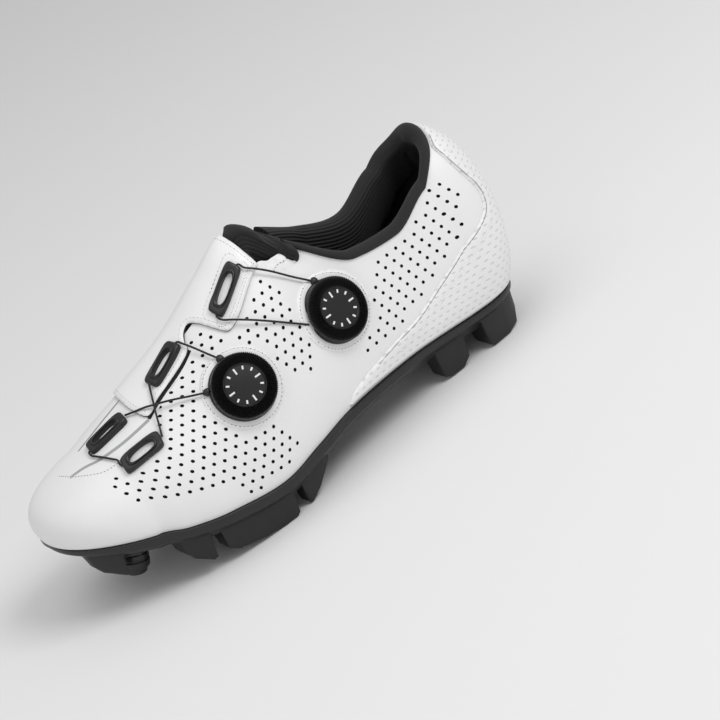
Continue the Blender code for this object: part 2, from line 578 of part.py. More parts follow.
# Dials: a base that follows the upper, and a knob on it
def skin_tree():
    """Search tree over the whole last, without the throat."""
    verts, faces = [], []
    qs, ts = np.linspace(0, 3, 100), np.linspace(0, 1, 24)
    for side in (1, -1):
        start = len(verts)
        verts += [Vector(p) for p in rib(side, qs[:, None], ts[None, :]).reshape(-1, 3)]
        for i in range(len(qs) - 1):
            for j in range(len(ts) - 1):
                k = start + i * len(ts) + j
                ring = [k, k + len(ts), k + len(ts) + 1, k + 1]
                faces.append(ring if side < 0 else ring[::-1])
    return BVHTree.FromPolygons(verts, faces)


def build_dial(name, place, down, ground):
    centre, normal = on_ridge(place * LENGTH, down * BALL_WIDTH, 0.0)
    frame = frame_on(centre, normal)
    bm = bmesh.new()
    bmesh.ops.create_circle(bm, cap_ends=True, cap_tris=True, segments=24, radius=DIAL_BASE_RADIUS)
    hub = min(bm.verts, key=lambda v: v.co.length)
    bmesh.ops.subdivide_edges(bm, edges=list(hub.link_edges), cuts=2)
    made = bmesh.ops.extrude_face_region(bm, geom=bm.faces[:], use_keep_orig=True)
    top = {v for v in made["geom"] if isinstance(v, bmesh.types.BMVert)}
    axis = Vector(normal)
    under = [v for v in bm.verts if v not in top]
    for v in under:
        world = frame @ v.co
        hit = ground.ray_cast(world + axis * 0.02, -axis, 0.04)[0]
        v.co = (hit if hit is not None else world) + axis * GAP * 1.3
    highest = max((v.co - frame.translation).dot(axis) for v in under)
    frame.translation += axis * max(0.0, highest + DIAL_BASE_LEAST - DIAL_BASE_HEIGHT)
    for v in top:
        v.co = frame @ Vector((v.co.x * 0.97, v.co.y * 0.97, DIAL_BASE_HEIGHT))
    base = add("dial_base_" + name, bm, "black_base", 40.0)
    r, h = DIAL_RADIUS, DIAL_HEIGHT
    z = DIAL_BASE_HEIGHT + GAP
    bm = lathe(((0.93 * r, z), (0.97 * r, z + 0.12 * h), (r, z + 0.62 * h), (0.955 * r, z + 0.80 * h),
                (0.86 * r, z + 0.84 * h), (0.82 * r, z + 0.96 * h), (0.55 * r, z + h)), 24)
    bmesh.ops.transform(bm, matrix=frame, verts=bm.verts)
    return base, add("dial_knob_" + name, bm, "black_dial", 35.0)


# Guides: a bar with a long window, laid on the flap or on the upper
def build_guide(name, place, down, turn, flapped):
    ground = LAID + (FLAP_THICK + GAP if flapped else 0.0)
    cu, cv, a = place * LENGTH, down * BALL_WIDTH, math.radians(turn)
    l, w = GUIDE_LENGTH / 2, GUIDE_WIDTH / 2

    def ring(half_l, half_w, corner, lift, count=20):
        pts = []
        for i in range(count):
            ang = 2 * math.pi * (i + 0.5) / count
            c, s = math.cos(ang), math.sin(ang)
            p = 2.0 / corner
            u = half_l * math.copysign(abs(c) ** p, c)
            v = half_w * math.copysign(abs(s) ** p, s)
            x, down = cu + u * math.cos(a) - v * math.sin(a), cv + u * math.sin(a) + v * math.cos(a)
            pts.append(on_ridge(x, down, lift)[0])
        return pts

    hole_l, hole_w = l - 1.5 * GUIDE_WALL, w - GUIDE_WALL * 0.85
    loops = [ring(l, w, 6.0, ground), ring(l, w, 6.0, ground + 0.7 * GUIDE_HEIGHT),
             ring(l - 0.0008, w - 0.0008, 5.0, ground + GUIDE_HEIGHT),
             ring(hole_l + 0.0006, hole_w + 0.0006, 3.0, ground + GUIDE_HEIGHT * 0.97),
             ring(hole_l, hole_w, 2.6, ground + 0.75 * GUIDE_HEIGHT), ring(hole_l, hole_w, 2.6, ground)]
    bm = bmesh.new()
    made = [[bm.verts.new(p) for p in loop] for loop in loops]
    edges = [[bm.edges.new((loop[i], loop[(i + 1) % len(loop)])) for i in range(len(loop))] for loop in made]
    for i in range(len(edges)):
        bmesh.ops.bridge_loops(bm, edges=edges[i] + edges[(i + 1) % len(edges)])
    return add("guide_" + name, bm, "black_guide", 45.0)


# Laces: thin rods that follow the surface between a dial and a guide
def lace_points(start, stop, ground, count, raised=(0.0, 0.0), reach=0.38):
    """Straight run held clear of the skin; raised gives the extra height towards its two ends."""
    points = []
    for i in range(count):
        share = i / (count - 1)
        p = start.lerp(stop, share)
        near, normal, _, _ = ground.find_nearest(p)
        high = max(raised[0] if share < 1 - reach else 0.0, raised[1] if share > reach else 0.0)
        lift = LACE_RADIUS + 2 * GAP + high
        off = (p - near).dot(normal)
        points.append(p if off > lift else p + normal * (lift - off))
    return points


def rod(name, lines):
    """Rods with square-ish section joined where they cross."""
    parts = []
    for k, points in enumerate(lines):
        bm = bmesh.new()
        rings = []
        for i, p in enumerate(points):
            ahead = points[min(i + 1, len(points) - 1)] - points[max(i - 1, 0)]
            frame = frame_on(p, ahead)
            turns = [Matrix.Rotation(math.pi * j / 3, 4, "Z") for j in range(6)]
            rings.append([bm.verts.new(frame @ turn @ Vector((LACE_RADIUS, 0, 0))) for turn in turns])
        loops = [[bm.edges.new((ring[j], ring[(j + 1) % 6])) for j in range(6)] for ring in rings]
        for first, second in zip(loops, loops[1:]):
            bmesh.ops.bridge_loops(bm, edges=first + second)
        bmesh.ops.contextual_create(bm, geom=loops[0])
        bmesh.ops.contextual_create(bm, geom=loops[-1])
        parts.append(add(name if k == 0 else "%s_cutter_%d" % (name, k), bm, "dark_lace", 60.0))
    for other in parts[1:]:
        other.hide_render = True
        other.display_type = "WIRE"
        join = parts[0].modifiers.new("join", "BOOLEAN")
        join.operation = "UNION"
        join.solver = "EXACT"
        join.object = other
    return parts[0]


def build():
    build_upper()
    build_pad()
    flap = [(u * LENGTH, v * BALL_WIDTH) for u, v in FLAP]
    add("instep_flap", patch(flap, on_ridge, LAID, LAID + FLAP_THICK, 0.0075), "white_flap", 50.0)
    full = [(u * LENGTH, v * HEEL_HEIGHT or COUNTER_FOOT) for u, v in COUNTER]
    full += [(-u, v) for u, v in reversed(full[1:-1])]
    add("heel_counter", patch(full, on_seat, LAID, LAID + COUNTER_THICK, 0.0080), "white_counter", 50.0)
    tongue = [(u * LENGTH, v * BALL_WIDTH) for u, v in TONGUE]
    top = -WALL - TONGUE_CLEAR
    add("tongue", patch(tongue, on_ridge, top - TONGUE_THICK, top, 0.0085), "black_knit", 50.0)
    build_plate()
    build_insole()
    for row in LUGS:
        build_lug(*row)
    build_stud("stud_outer", 1)
    build_stud("stud_inner", -1)
    for along in (1, -1):
        for side in (1, -1):
            ends = ("front" if along > 0 else "rear", "outer" if side > 0 else "inner")
            build_bolt("bolt_%s_%s" % ends, along, side)
    ground = skin_tree()
    for name, place, down in DIALS:
        build_dial(name, place, down, ground)
    for row in GUIDES:
        build_guide(*row)
    build_laces(ground)


def guide_end(index, end, lift, aside=0.0):
    """Point just past one end of a guide, or past its corner when aside is 1 or -1."""
    name, place, down, turn, flapped = GUIDES[index]
    along = end * (GUIDE_LENGTH / 2 + LACE_RADIUS + GAP)
    over = aside * (GUIDE_WIDTH / 2 + LACE_RADIUS)
    a = math.radians(turn)
    base = (FLAP_THICK + LAID if flapped else 0.0) + lift
    x = place * LENGTH + along * math.cos(a) - over * math.sin(a)
    w = down * BALL_WIDTH + along * math.sin(a) + over * math.cos(a)
    return Vector(on_ridge(x, w, base)[0])


def dial_exit(index, clock):
    """Point just outside a dial base, clock in degrees from the toe, turning down the side."""
    name, place, down = DIALS[index]
    centre, normal = on_ridge(place * LENGTH, down * BALL_WIDTH, 0.0)
    n = Vector(normal)
    toe = Vector((1, 0, 0))
    toe = (toe - n * toe.dot(n)).normalized()
    side = toe.cross(n).normalized()
    if side.z > 0:
        side = -side
    a = math.radians(clock)
    out = (toe * math.cos(a) + side * math.sin(a)) * (DIAL_BASE_RADIUS + LACE_RADIUS + GAP)
    return Vector(centre) + out + n * 0.0008


def build_laces(ground):
    lift = LACE_RADIUS + 2 * GAP
    step = FLAP_THICK + LAID + GAP

    def path(a, b, count, raised=(0.0, 0.0), reach=0.38):
        return lace_points(a, b, ground, count, raised, reach)

    def turned(index, end, aside):
        mouth = guide_end(index, end, lift)
        corner = guide_end(index, end, lift, aside)
        return [mouth, mouth.lerp(corner, 0.6), corner]

    runs = (("lace_rear_upper", 0, -1, 0, -75, 9), ("lace_rear_lower", 0, 1, 0, 12, 9),
            ("lace_front_upper", 1, -1, 1, -88, 7))
    for name, index, end, dial, clock, count in runs:
        run = path(guide_end(index, end, lift, 1), dial_exit(dial, clock), count, (step, 0.0))
        rod(name, [turned(index, end, 1)[:2] + run])
    place, down = CROSSING
    over = Vector(on_ridge(place * LENGTH, down * BALL_WIDTH, step + lift)[0])
    down_line = path(guide_end(1, 1, lift), over, 4, (step, step))
    down_line += path(over, guide_end(3, -1, lift), 4, (step, 0.0))[1:]
    back_line = path(guide_end(2, -1, lift), over, 5, (0.0, step), 0.2)
    back_line += path(over, dial_exit(1, -28), 5, (step, 0.0))[1:]
    rod("lace_cross", [down_line, back_line])
    run = path(guide_end(3, 1, lift, -1), guide_end(2, 1, lift, 1), 4)
    rod("lace_front_lower", [turned(3, 1, -1)[:2] + run + turned(2, 1, 1)[:2][::-1]])


def settle():
    """Move the shoe so that its base centre is the origin."""
    bpy.context.view_layer.update()
    solids = [o for o in bpy.data.objects if not o.hide_render]
    points = np.array([v.co[:] for o in solids for v in o.data.vertices])
    low, high = points.min(0), points.max(0)
    shift = Vector((-(low[0] + high[0]) / 2, -(low[1] + high[1]) / 2, -low[2]))
    for obj in bpy.data.objects:
        obj.data.transform(Matrix.Translation(shift))
    return shift, high - low


build()
SHIFT, SIZE = settle()
print("moved by", tuple(round(v, 5) for v in SHIFT), "size", tuple(round(float(v), 4) for v in SIZE))
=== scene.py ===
"""Looks of a left mountain-bike shoe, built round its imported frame.

Pieces are modelled where the last stands, with x from the back of the heel to the toe, y to the
outer side and z up, in metres. BASE then moves each one into the frame.
"""

import logging
import math
from collections.abc import Callable, Iterable, Sequence
from dataclasses import dataclass, field
from enum import Enum

import bmesh
import bpy
import numpy as np
from mathutils import Matrix, Vector
from mathutils.bvhtree import BVHTree

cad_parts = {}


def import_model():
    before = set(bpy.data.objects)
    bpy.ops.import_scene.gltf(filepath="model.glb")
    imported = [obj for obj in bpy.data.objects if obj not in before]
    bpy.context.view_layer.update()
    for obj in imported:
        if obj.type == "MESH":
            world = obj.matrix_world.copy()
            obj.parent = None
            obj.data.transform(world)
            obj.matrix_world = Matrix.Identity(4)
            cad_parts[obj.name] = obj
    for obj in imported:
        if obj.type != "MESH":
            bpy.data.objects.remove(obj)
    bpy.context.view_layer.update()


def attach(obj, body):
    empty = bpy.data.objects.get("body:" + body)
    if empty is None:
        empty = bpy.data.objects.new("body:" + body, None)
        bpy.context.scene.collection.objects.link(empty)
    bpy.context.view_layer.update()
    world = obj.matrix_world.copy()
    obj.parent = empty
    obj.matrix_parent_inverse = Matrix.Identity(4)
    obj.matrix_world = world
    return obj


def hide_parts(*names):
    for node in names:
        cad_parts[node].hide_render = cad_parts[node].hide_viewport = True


LOG = logging.getLogger("shoe")
MM = 0.001
BASE = Vector((-0.12935, -0.00266, 0.0))
OUTER, INNER = 1.0, -1.0

Chart = Callable[[np.ndarray, np.ndarray, np.ndarray], tuple[np.ndarray, np.ndarray]]


# Finishes


class Surface(Enum):
    """Small-scale structure of a finish."""

    GRAIN = "pressed leather grain"
    KNIT = "knitted cloth"
    MOULDED = "moulded plastic or rubber"
    METAL = "machined metal"
    DIMPLED = "leather with pressed dimples"


@dataclass(frozen=True)
class Finish:
    """One material: its colour, gloss and small-scale structure."""

    name: str
    color: tuple[float, float, float]
    roughness: float
    surface: Surface = Surface.MOULDED
    metallic: float = 0.0
    coat: float = 0.0
    sheen: float = 0.0
    grain_size: float = 0.8 * MM
    grain_depth: float = 0.02 * MM
    mottle: float = 0.02

    def material(self) -> bpy.types.Material:
        """Returns the finish as a node material, made once."""
        made = bpy.data.materials.get(self.name)
        if made:
            return made
        made = bpy.data.materials.new(self.name)
        made.use_nodes = True
        tree = made.node_tree
        shader = tree.nodes["Principled BSDF"]
        shader.inputs["Metallic"].default_value = self.metallic
        if self.coat:
            shader.inputs["Coat Weight"].default_value = self.coat
            shader.inputs["Coat Roughness"].default_value = 0.25
        if self.sheen:
            shader.inputs["Sheen Weight"].default_value = self.sheen
            shader.inputs["Sheen Roughness"].default_value = 0.5
        place = tree.nodes.new("ShaderNodeTexCoord")
        tone = self._tone(tree, place)
        height = self._height(tree, place)
        if self.surface is Surface.DIMPLED:
            dimple = self._dimples(tree)
            # Painted shade: the dimples are also darkened to 0.8 of the colour, as the shade in the pits, besides being
            # sunk in the bump.
            tone = self._blend(tree, dimple, tone, tuple(0.80 * c for c in self.color))
            height = self._math(tree, "SUBTRACT", height, self._math(tree, "MULTIPLY", dimple, 1.5))
        tree.links.new(tone, shader.inputs["Base Color"])
        self._gloss(tree, place, shader)
        bump = tree.nodes.new("ShaderNodeBump")
        bump.inputs["Strength"].default_value = 1.0
        bump.inputs["Distance"].default_value = self.grain_depth
        tree.links.new(height, bump.inputs["Height"])
        tree.links.new(bump.outputs["Normal"], shader.inputs["Normal"])
        return made

    @staticmethod
    def _math(tree: bpy.types.NodeTree, kind: str, a, b=0.0, c=0.0) -> bpy.types.NodeSocket:
        """Returns a math node's output; each operand is a socket or a number."""
        node = tree.nodes.new("ShaderNodeMath")
        node.operation = kind
        for i, value in enumerate((a, b, c)):
            if isinstance(value, bpy.types.NodeSocket):
                tree.links.new(value, node.inputs[i])
            else:
                node.inputs[i].default_value = value
        return node.outputs[0]

    @staticmethod
    def _blend(tree: bpy.types.NodeTree, share, a, color: tuple[float, ...]) -> bpy.types.NodeSocket:
        """Returns a mix of socket a with a colour, by share."""
        mix = tree.nodes.new("ShaderNodeMix")
        mix.data_type = "RGBA"
        tree.links.new(share, mix.inputs[0])
        tree.links.new(a, mix.inputs[6])
        mix.inputs[7].default_value = (*color, 1.0)
        return mix.outputs[2]

    def _noise(self, tree: bpy.types.NodeTree, place, size: float, detail: float = 2.0) -> bpy.types.NodeSocket:
        """Returns a noise whose features are about size metres."""
        noise = tree.nodes.new("ShaderNodeTexNoise")
        noise.inputs["Scale"].default_value = 1.0 / size
        noise.inputs["Detail"].default_value = detail
        tree.links.new(place.outputs["Object"], noise.inputs["Vector"])
        return noise.outputs["Fac"]

    def _tone(self, tree: bpy.types.NodeTree, place) -> bpy.types.NodeSocket:
        """Returns the base colour with a slow change of tone and faint small spots."""
        ramp = tree.nodes.new("ShaderNodeMix")
        ramp.data_type = "RGBA"
        slow = self._noise(tree, place, 28 * MM, 3.0)
        fine = self._noise(tree, place, 1.6 * MM, 2.0)
        share = self._math(tree, "MULTIPLY_ADD", fine, 0.35, self._math(tree, "MULTIPLY", slow, 0.65))
        tree.links.new(share, ramp.inputs[0])
        ramp.inputs[6].default_value = (*(c * (1 - 2 * self.mottle) for c in self.color), 1.0)
        ramp.inputs[7].default_value = (*(min(1.0, c * (1 + 2 * self.mottle)) for c in self.color), 1.0)
        return ramp.outputs[2]

    def _height(self, tree: bpy.types.NodeTree, place) -> bpy.types.NodeSocket:
        """Returns the height of the small-scale structure."""
        if self.surface in (Surface.GRAIN, Surface.DIMPLED):
            cells = tree.nodes.new("ShaderNodeTexVoronoi")
            cells.feature = "SMOOTH_F1"
            cells.inputs["Scale"].default_value = 1.0 / self.grain_size
            cells.inputs["Smoothness"].default_value = 0.6
            tree.links.new(place.outputs["Object"], cells.inputs["Vector"])
            return self._math(tree, "MULTIPLY_ADD", cells.outputs["Distance"], 0.8,
                              self._noise(tree, place, self.grain_size * 3, 3.0))
        if self.surface is Surface.KNIT:
            wave = tree.nodes.new("ShaderNodeTexWave")
            wave.inputs["Scale"].default_value = 0.32 / self.grain_size
            wave.inputs["Distortion"].default_value = 1.5
            wave.inputs["Detail Scale"].default_value = 2.0
            wave.bands_direction = "X"
            tree.links.new(place.outputs["Object"], wave.inputs["Vector"])
            return self._math(tree, "ADD", wave.outputs["Fac"], self._noise(tree, place, self.grain_size, 2.0))
        if self.surface is Surface.METAL:
            return self._noise(tree, place, self.grain_size, 4.0)
        return self._math(tree, "ADD", self._noise(tree, place, self.grain_size, 3.0),
                          self._noise(tree, place, self.grain_size * 8, 2.0))

    def _gloss(self, tree: bpy.types.NodeTree, place, shader) -> None:
        """Links a roughness that varies a little, as handled surfaces do."""
        ramp = tree.nodes.new("ShaderNodeMapRange")
        ramp.inputs["To Min"].default_value = max(0.05, self.roughness - 0.06)
        ramp.inputs["To Max"].default_value = min(1.0, self.roughness + 0.06)
        tree.links.new(self._noise(tree, place, 9 * MM, 4.0), ramp.inputs["Value"])
        tree.links.new(ramp.outputs["Result"], shader.inputs["Roughness"])

    def _dimples(self, tree: bpy.types.NodeTree) -> bpy.types.NodeSocket:
        """Returns 1 inside staggered oblong dimples laid on the piece's own map, in millimetres."""
        uv = tree.nodes.new("ShaderNodeUVMap")
        uv.uv_map = "run"
        parts = tree.nodes.new("ShaderNodeSeparateXYZ")
        tree.links.new(uv.outputs["UV"], parts.inputs[0])
        row = self._math(tree, "DIVIDE", parts.outputs["Y"], 3.1)
        odd = self._math(tree, "MULTIPLY", self._math(tree, "MODULO", self._math(tree, "FLOOR", row), 2.0), 0.5)
        across = self._math(tree, "FRACT", row)
        along = self._math(tree, "FRACT", self._math(tree, "ADD", self._math(tree, "DIVIDE", parts.outputs["X"], 4.6), odd))
        a = self._math(tree, "MULTIPLY", self._math(tree, "SUBTRACT", along, 0.5), 4.6 / 1.15)
        b = self._math(tree, "MULTIPLY", self._math(tree, "SUBTRACT", across, 0.5), 3.1 / 0.42)
        far = self._math(tree, "ADD", self._math(tree, "MULTIPLY", a, a), self._math(tree, "MULTIPLY", b, b))
        edge = tree.nodes.new("ShaderNodeMapRange")
        edge.interpolation_type = "SMOOTHSTEP"
        for name, value in (("From Min", 1.4), ("From Max", 0.6), ("To Min", 0.0), ("To Max", 1.0)):
            edge.inputs[name].default_value = value
        tree.links.new(far, edge.inputs["Value"])
        return edge.outputs["Result"]


WHITE_UPPER = Finish("white_upper_leather", (0.80, 0.80, 0.80), 0.46, Surface.GRAIN, coat=0.08,
                     grain_size=0.9 * MM, grain_depth=0.025 * MM, mottle=0.008)
WHITE_FLAP = Finish("white_flap_leather", (0.82, 0.82, 0.82), 0.42, Surface.GRAIN, coat=0.10,
                    grain_size=0.9 * MM, grain_depth=0.02 * MM, mottle=0.008)
WHITE_COUNTER = Finish("white_counter_leather", (0.82, 0.82, 0.82), 0.44, Surface.DIMPLED, coat=0.08,
                       grain_size=0.9 * MM, grain_depth=0.06 * MM, mottle=0.008)
WHITE_THREAD = Finish("white_thread", (0.74, 0.74, 0.74), 0.7, Surface.KNIT, grain_size=0.3 * MM)
# Painted shade: dark grey for the small beads sunk at the needle holes, standing for the shade in each hole.
NEEDLE_HOLE_SHADE = Finish("needle_hole_painted_shade", (0.10, 0.10, 0.105), 0.9, mottle=0.0)
# Black edge paint on the flap's cut edge, made darker still as painted shade along and under the flap's edge.
EDGE_PAINT_AND_SHADE = Finish("cut_edge_paint_and_painted_shade", (0.02, 0.02, 0.021), 0.7, mottle=0.05)
# Dark lining inside the upper; also painted shade on the pinholes' walls and floors and on the band laid over the slit.
DARK_LINING_AND_SHADE = Finish("dark_lining_and_painted_hole_shade", (0.010, 0.010, 0.011), 0.9, Surface.KNIT, mottle=0.05)
# Painted shade: grey for the bands that stand for the shade in pressed grooves and beside the heel piece's raised edge.
GROOVE_SHADE_GREY = Finish("painted_groove_shade_grey", (0.36, 0.36, 0.365), 0.55, Surface.GRAIN, mottle=0.05)
BLACK_KNIT = Finish("black_ribbed_knit", (0.009, 0.009, 0.010), 0.85, Surface.KNIT, sheen=0.06,
                    grain_size=0.45 * MM, grain_depth=0.10 * MM, mottle=0.10)
BLACK_BINDING = Finish("black_collar_binding", (0.010, 0.010, 0.011), 0.80, Surface.KNIT, sheen=0.06,
                       grain_size=0.6 * MM, grain_depth=0.12 * MM, mottle=0.12)
BLACK_INSOLE = Finish("black_insole_cloth", (0.035, 0.035, 0.038), 0.92, Surface.KNIT, sheen=0.2,
                      grain_size=0.6 * MM, grain_depth=0.08 * MM, mottle=0.08)
BLACK_PLATE = Finish("black_sole_plate", (0.010, 0.010, 0.011), 0.42, grain_size=0.7 * MM,
                     grain_depth=0.015 * MM, mottle=0.06)
BLACK_RUBBER = Finish("black_tread_rubber", (0.009, 0.009, 0.0095), 0.55, grain_size=0.6 * MM,
                      grain_depth=0.03 * MM, mottle=0.10)
DIAL_BLACK = Finish("black_dial_plastic", (0.008, 0.008, 0.0085), 0.30, grain_size=0.5 * MM,
                    grain_depth=0.01 * MM, mottle=0.05)
BASE_BLACK = Finish("black_dial_base", (0.008, 0.008, 0.0085), 0.42, grain_size=0.5 * MM, mottle=0.05)
DIAL_MARK = Finish("white_dial_mark", (0.78, 0.78, 0.78), 0.5, mottle=0.01)
GUIDE_BLACK = Finish("black_guide_plastic", (0.010, 0.010, 0.011), 0.44, grain_size=0.5 * MM,
                     grain_depth=0.02 * MM, mottle=0.06)
WIRE_DARK = Finish("dark_coated_wire", (0.012, 0.012, 0.013), 0.40, Surface.METAL, metallic=0.3,
                   grain_size=0.5 * MM, grain_depth=0.02 * MM)
STUD_BLACK = Finish("black_stud_plastic", (0.009, 0.009, 0.0095), 0.34, grain_size=0.6 * MM, mottle=0.05)
BOLT_STEEL = Finish("dark_bolt_steel", (0.30, 0.30, 0.31), 0.34, Surface.METAL, metallic=0.95,
                    grain_size=0.25 * MM, grain_depth=0.01 * MM)
FLOOR_PALE = Finish("pale_floor", (0.80, 0.80, 0.80), 0.9, grain_size=4 * MM, grain_depth=0.0, mottle=0.0)


# The last


class Zone(Enum):
    """Part of the outline that a section stands on."""

    HEEL = 0
    BODY = 1
    TOE = 2


@dataclass(frozen=True)
class Section:
    """One section of the last; its sizes are shares of the last's named sizes."""

    zone: Zone
    place: float
    lateral: float
    medial: float
    seat: float
    top_lateral: float
    top_medial: float
    ridge: float
    bulge_lateral: float
    bulge_medial: float
    low: float
    spread: float
    drop: float
    reach: float
    plate: float


SECTIONS = (
    Section(Zone.HEEL, 0.000, 0.365, 0.353, 1.00, 1.000, 1.000, 0.000, 0.165, 0.165, 0.28, 0.80, 0.15, 0.30, 1.10),
    Section(Zone.HEEL, 0.500, 0.365, 0.353, 1.00, 0.936, 0.936, 0.000, 0.160, 0.160, 0.28, 0.60, 0.18, 0.28, 1.10),
    Section(Zone.HEEL, 1.000, 0.365, 0.353, 1.02, 0.818, 0.836, 0.000, 0.094, 0.094, 0.30, 0.22, 0.28, 0.22, 1.10),
    Section(Zone.BODY, 0.205, 0.365, 0.329, 1.09, 0.727, 0.736, 0.000, 0.070, 0.082, 0.30, 0.10, 0.30, 0.16, 1.00),
    Section(Zone.BODY, 0.299, 0.388, 0.318, 1.18, 0.755, 0.818, 0.012, 0.070, 0.082, 0.35, 0.10, 0.30, 0.20, 0.85),
    Section(Zone.BODY, 0.384, 0.418, 0.324, 1.20, 0.927, 0.964, 0.012, 0.070, 0.082, 0.40, 0.25, 0.25, 0.60, 0.80),
    Section(Zone.BODY, 0.452, 0.447, 0.341, 1.18, 1.000, 1.000, 0.000, 0.070, 0.070, 0.45, 0.35, 0.05, 1.00, 0.80),
    Section(Zone.BODY, 0.541, 0.494, 0.382, 1.05, 0.892, 0.892, -0.024, 0.059, 0.059, 0.45, 0.50, 0.00, 1.00, 0.85),
    Section(Zone.BODY, 0.634, 0.529, 0.429, 0.91, 0.767, 0.767, -0.059, 0.035, 0.047, 0.48, 0.58, 0.00, 1.00, 0.95),
    Section(Zone.BODY, 0.746, 0.518, 0.471, 0.60, 0.667, 0.667, -0.094, 0.024, 0.035, 0.50, 0.64, 0.00, 1.00, 0.90),
    Section(Zone.BODY, 0.821, 0.459, 0.459, 0.70, 0.612, 0.612, -0.106, 0.024, 0.035, 0.52, 0.70, 0.00, 1.00, 0.80),
    Section(Zone.TOE, 0.000, 0.400, 0.418, 0.80, 0.579, 0.579, -0.106, 0.030, 0.035, 0.55, 0.70, 0.00, 1.00, 0.70),
    Section(Zone.TOE, 1.000, 0.400, 0.418, 1.00, 0.080, 0.080, -0.106, 0.070, 0.070, 0.60, 0.66, 0.00, 1.00, 0.55),
)


def smooth_through(xs: np.ndarray, ys: np.ndarray, x: np.ndarray) -> np.ndarray:
    """Monotone cubic through points.

    Args:
        xs, ys: the points, with xs rising.
        x: where to read the curve.

    Returns:
        The curve's values.
    """
    h = np.diff(xs)
    d = np.diff(ys) / h
    m = np.zeros(len(xs))
    for i in range(1, len(xs) - 1):
        if d[i - 1] * d[i] > 0.0:
            a, b = 2.0 * h[i] + h[i - 1], h[i] + 2.0 * h[i - 1]
            m[i] = (a + b) / (a / d[i - 1] + b / d[i])
    x = np.clip(x, xs[0], xs[-1])
    i = np.clip(np.searchsorted(xs, x, side="right") - 1, 0, len(xs) - 2)
    s = (x - xs[i]) / h[i]
    return ((1 + 2 * s) * (1 - s) ** 2 * ys[i] + s * (1 - s) ** 2 * h[i] * m[i]
            + s * s * (3 - 2 * s) * ys[i + 1] + s * s * (s - 1) * h[i] * m[i + 1])


def ease(x: np.ndarray | float) -> np.ndarray:
    """Smooth step of a value clipped to 0..1."""
    x = np.clip(x, 0.0, 1.0)
    return x * x * (3 - 2 * x)


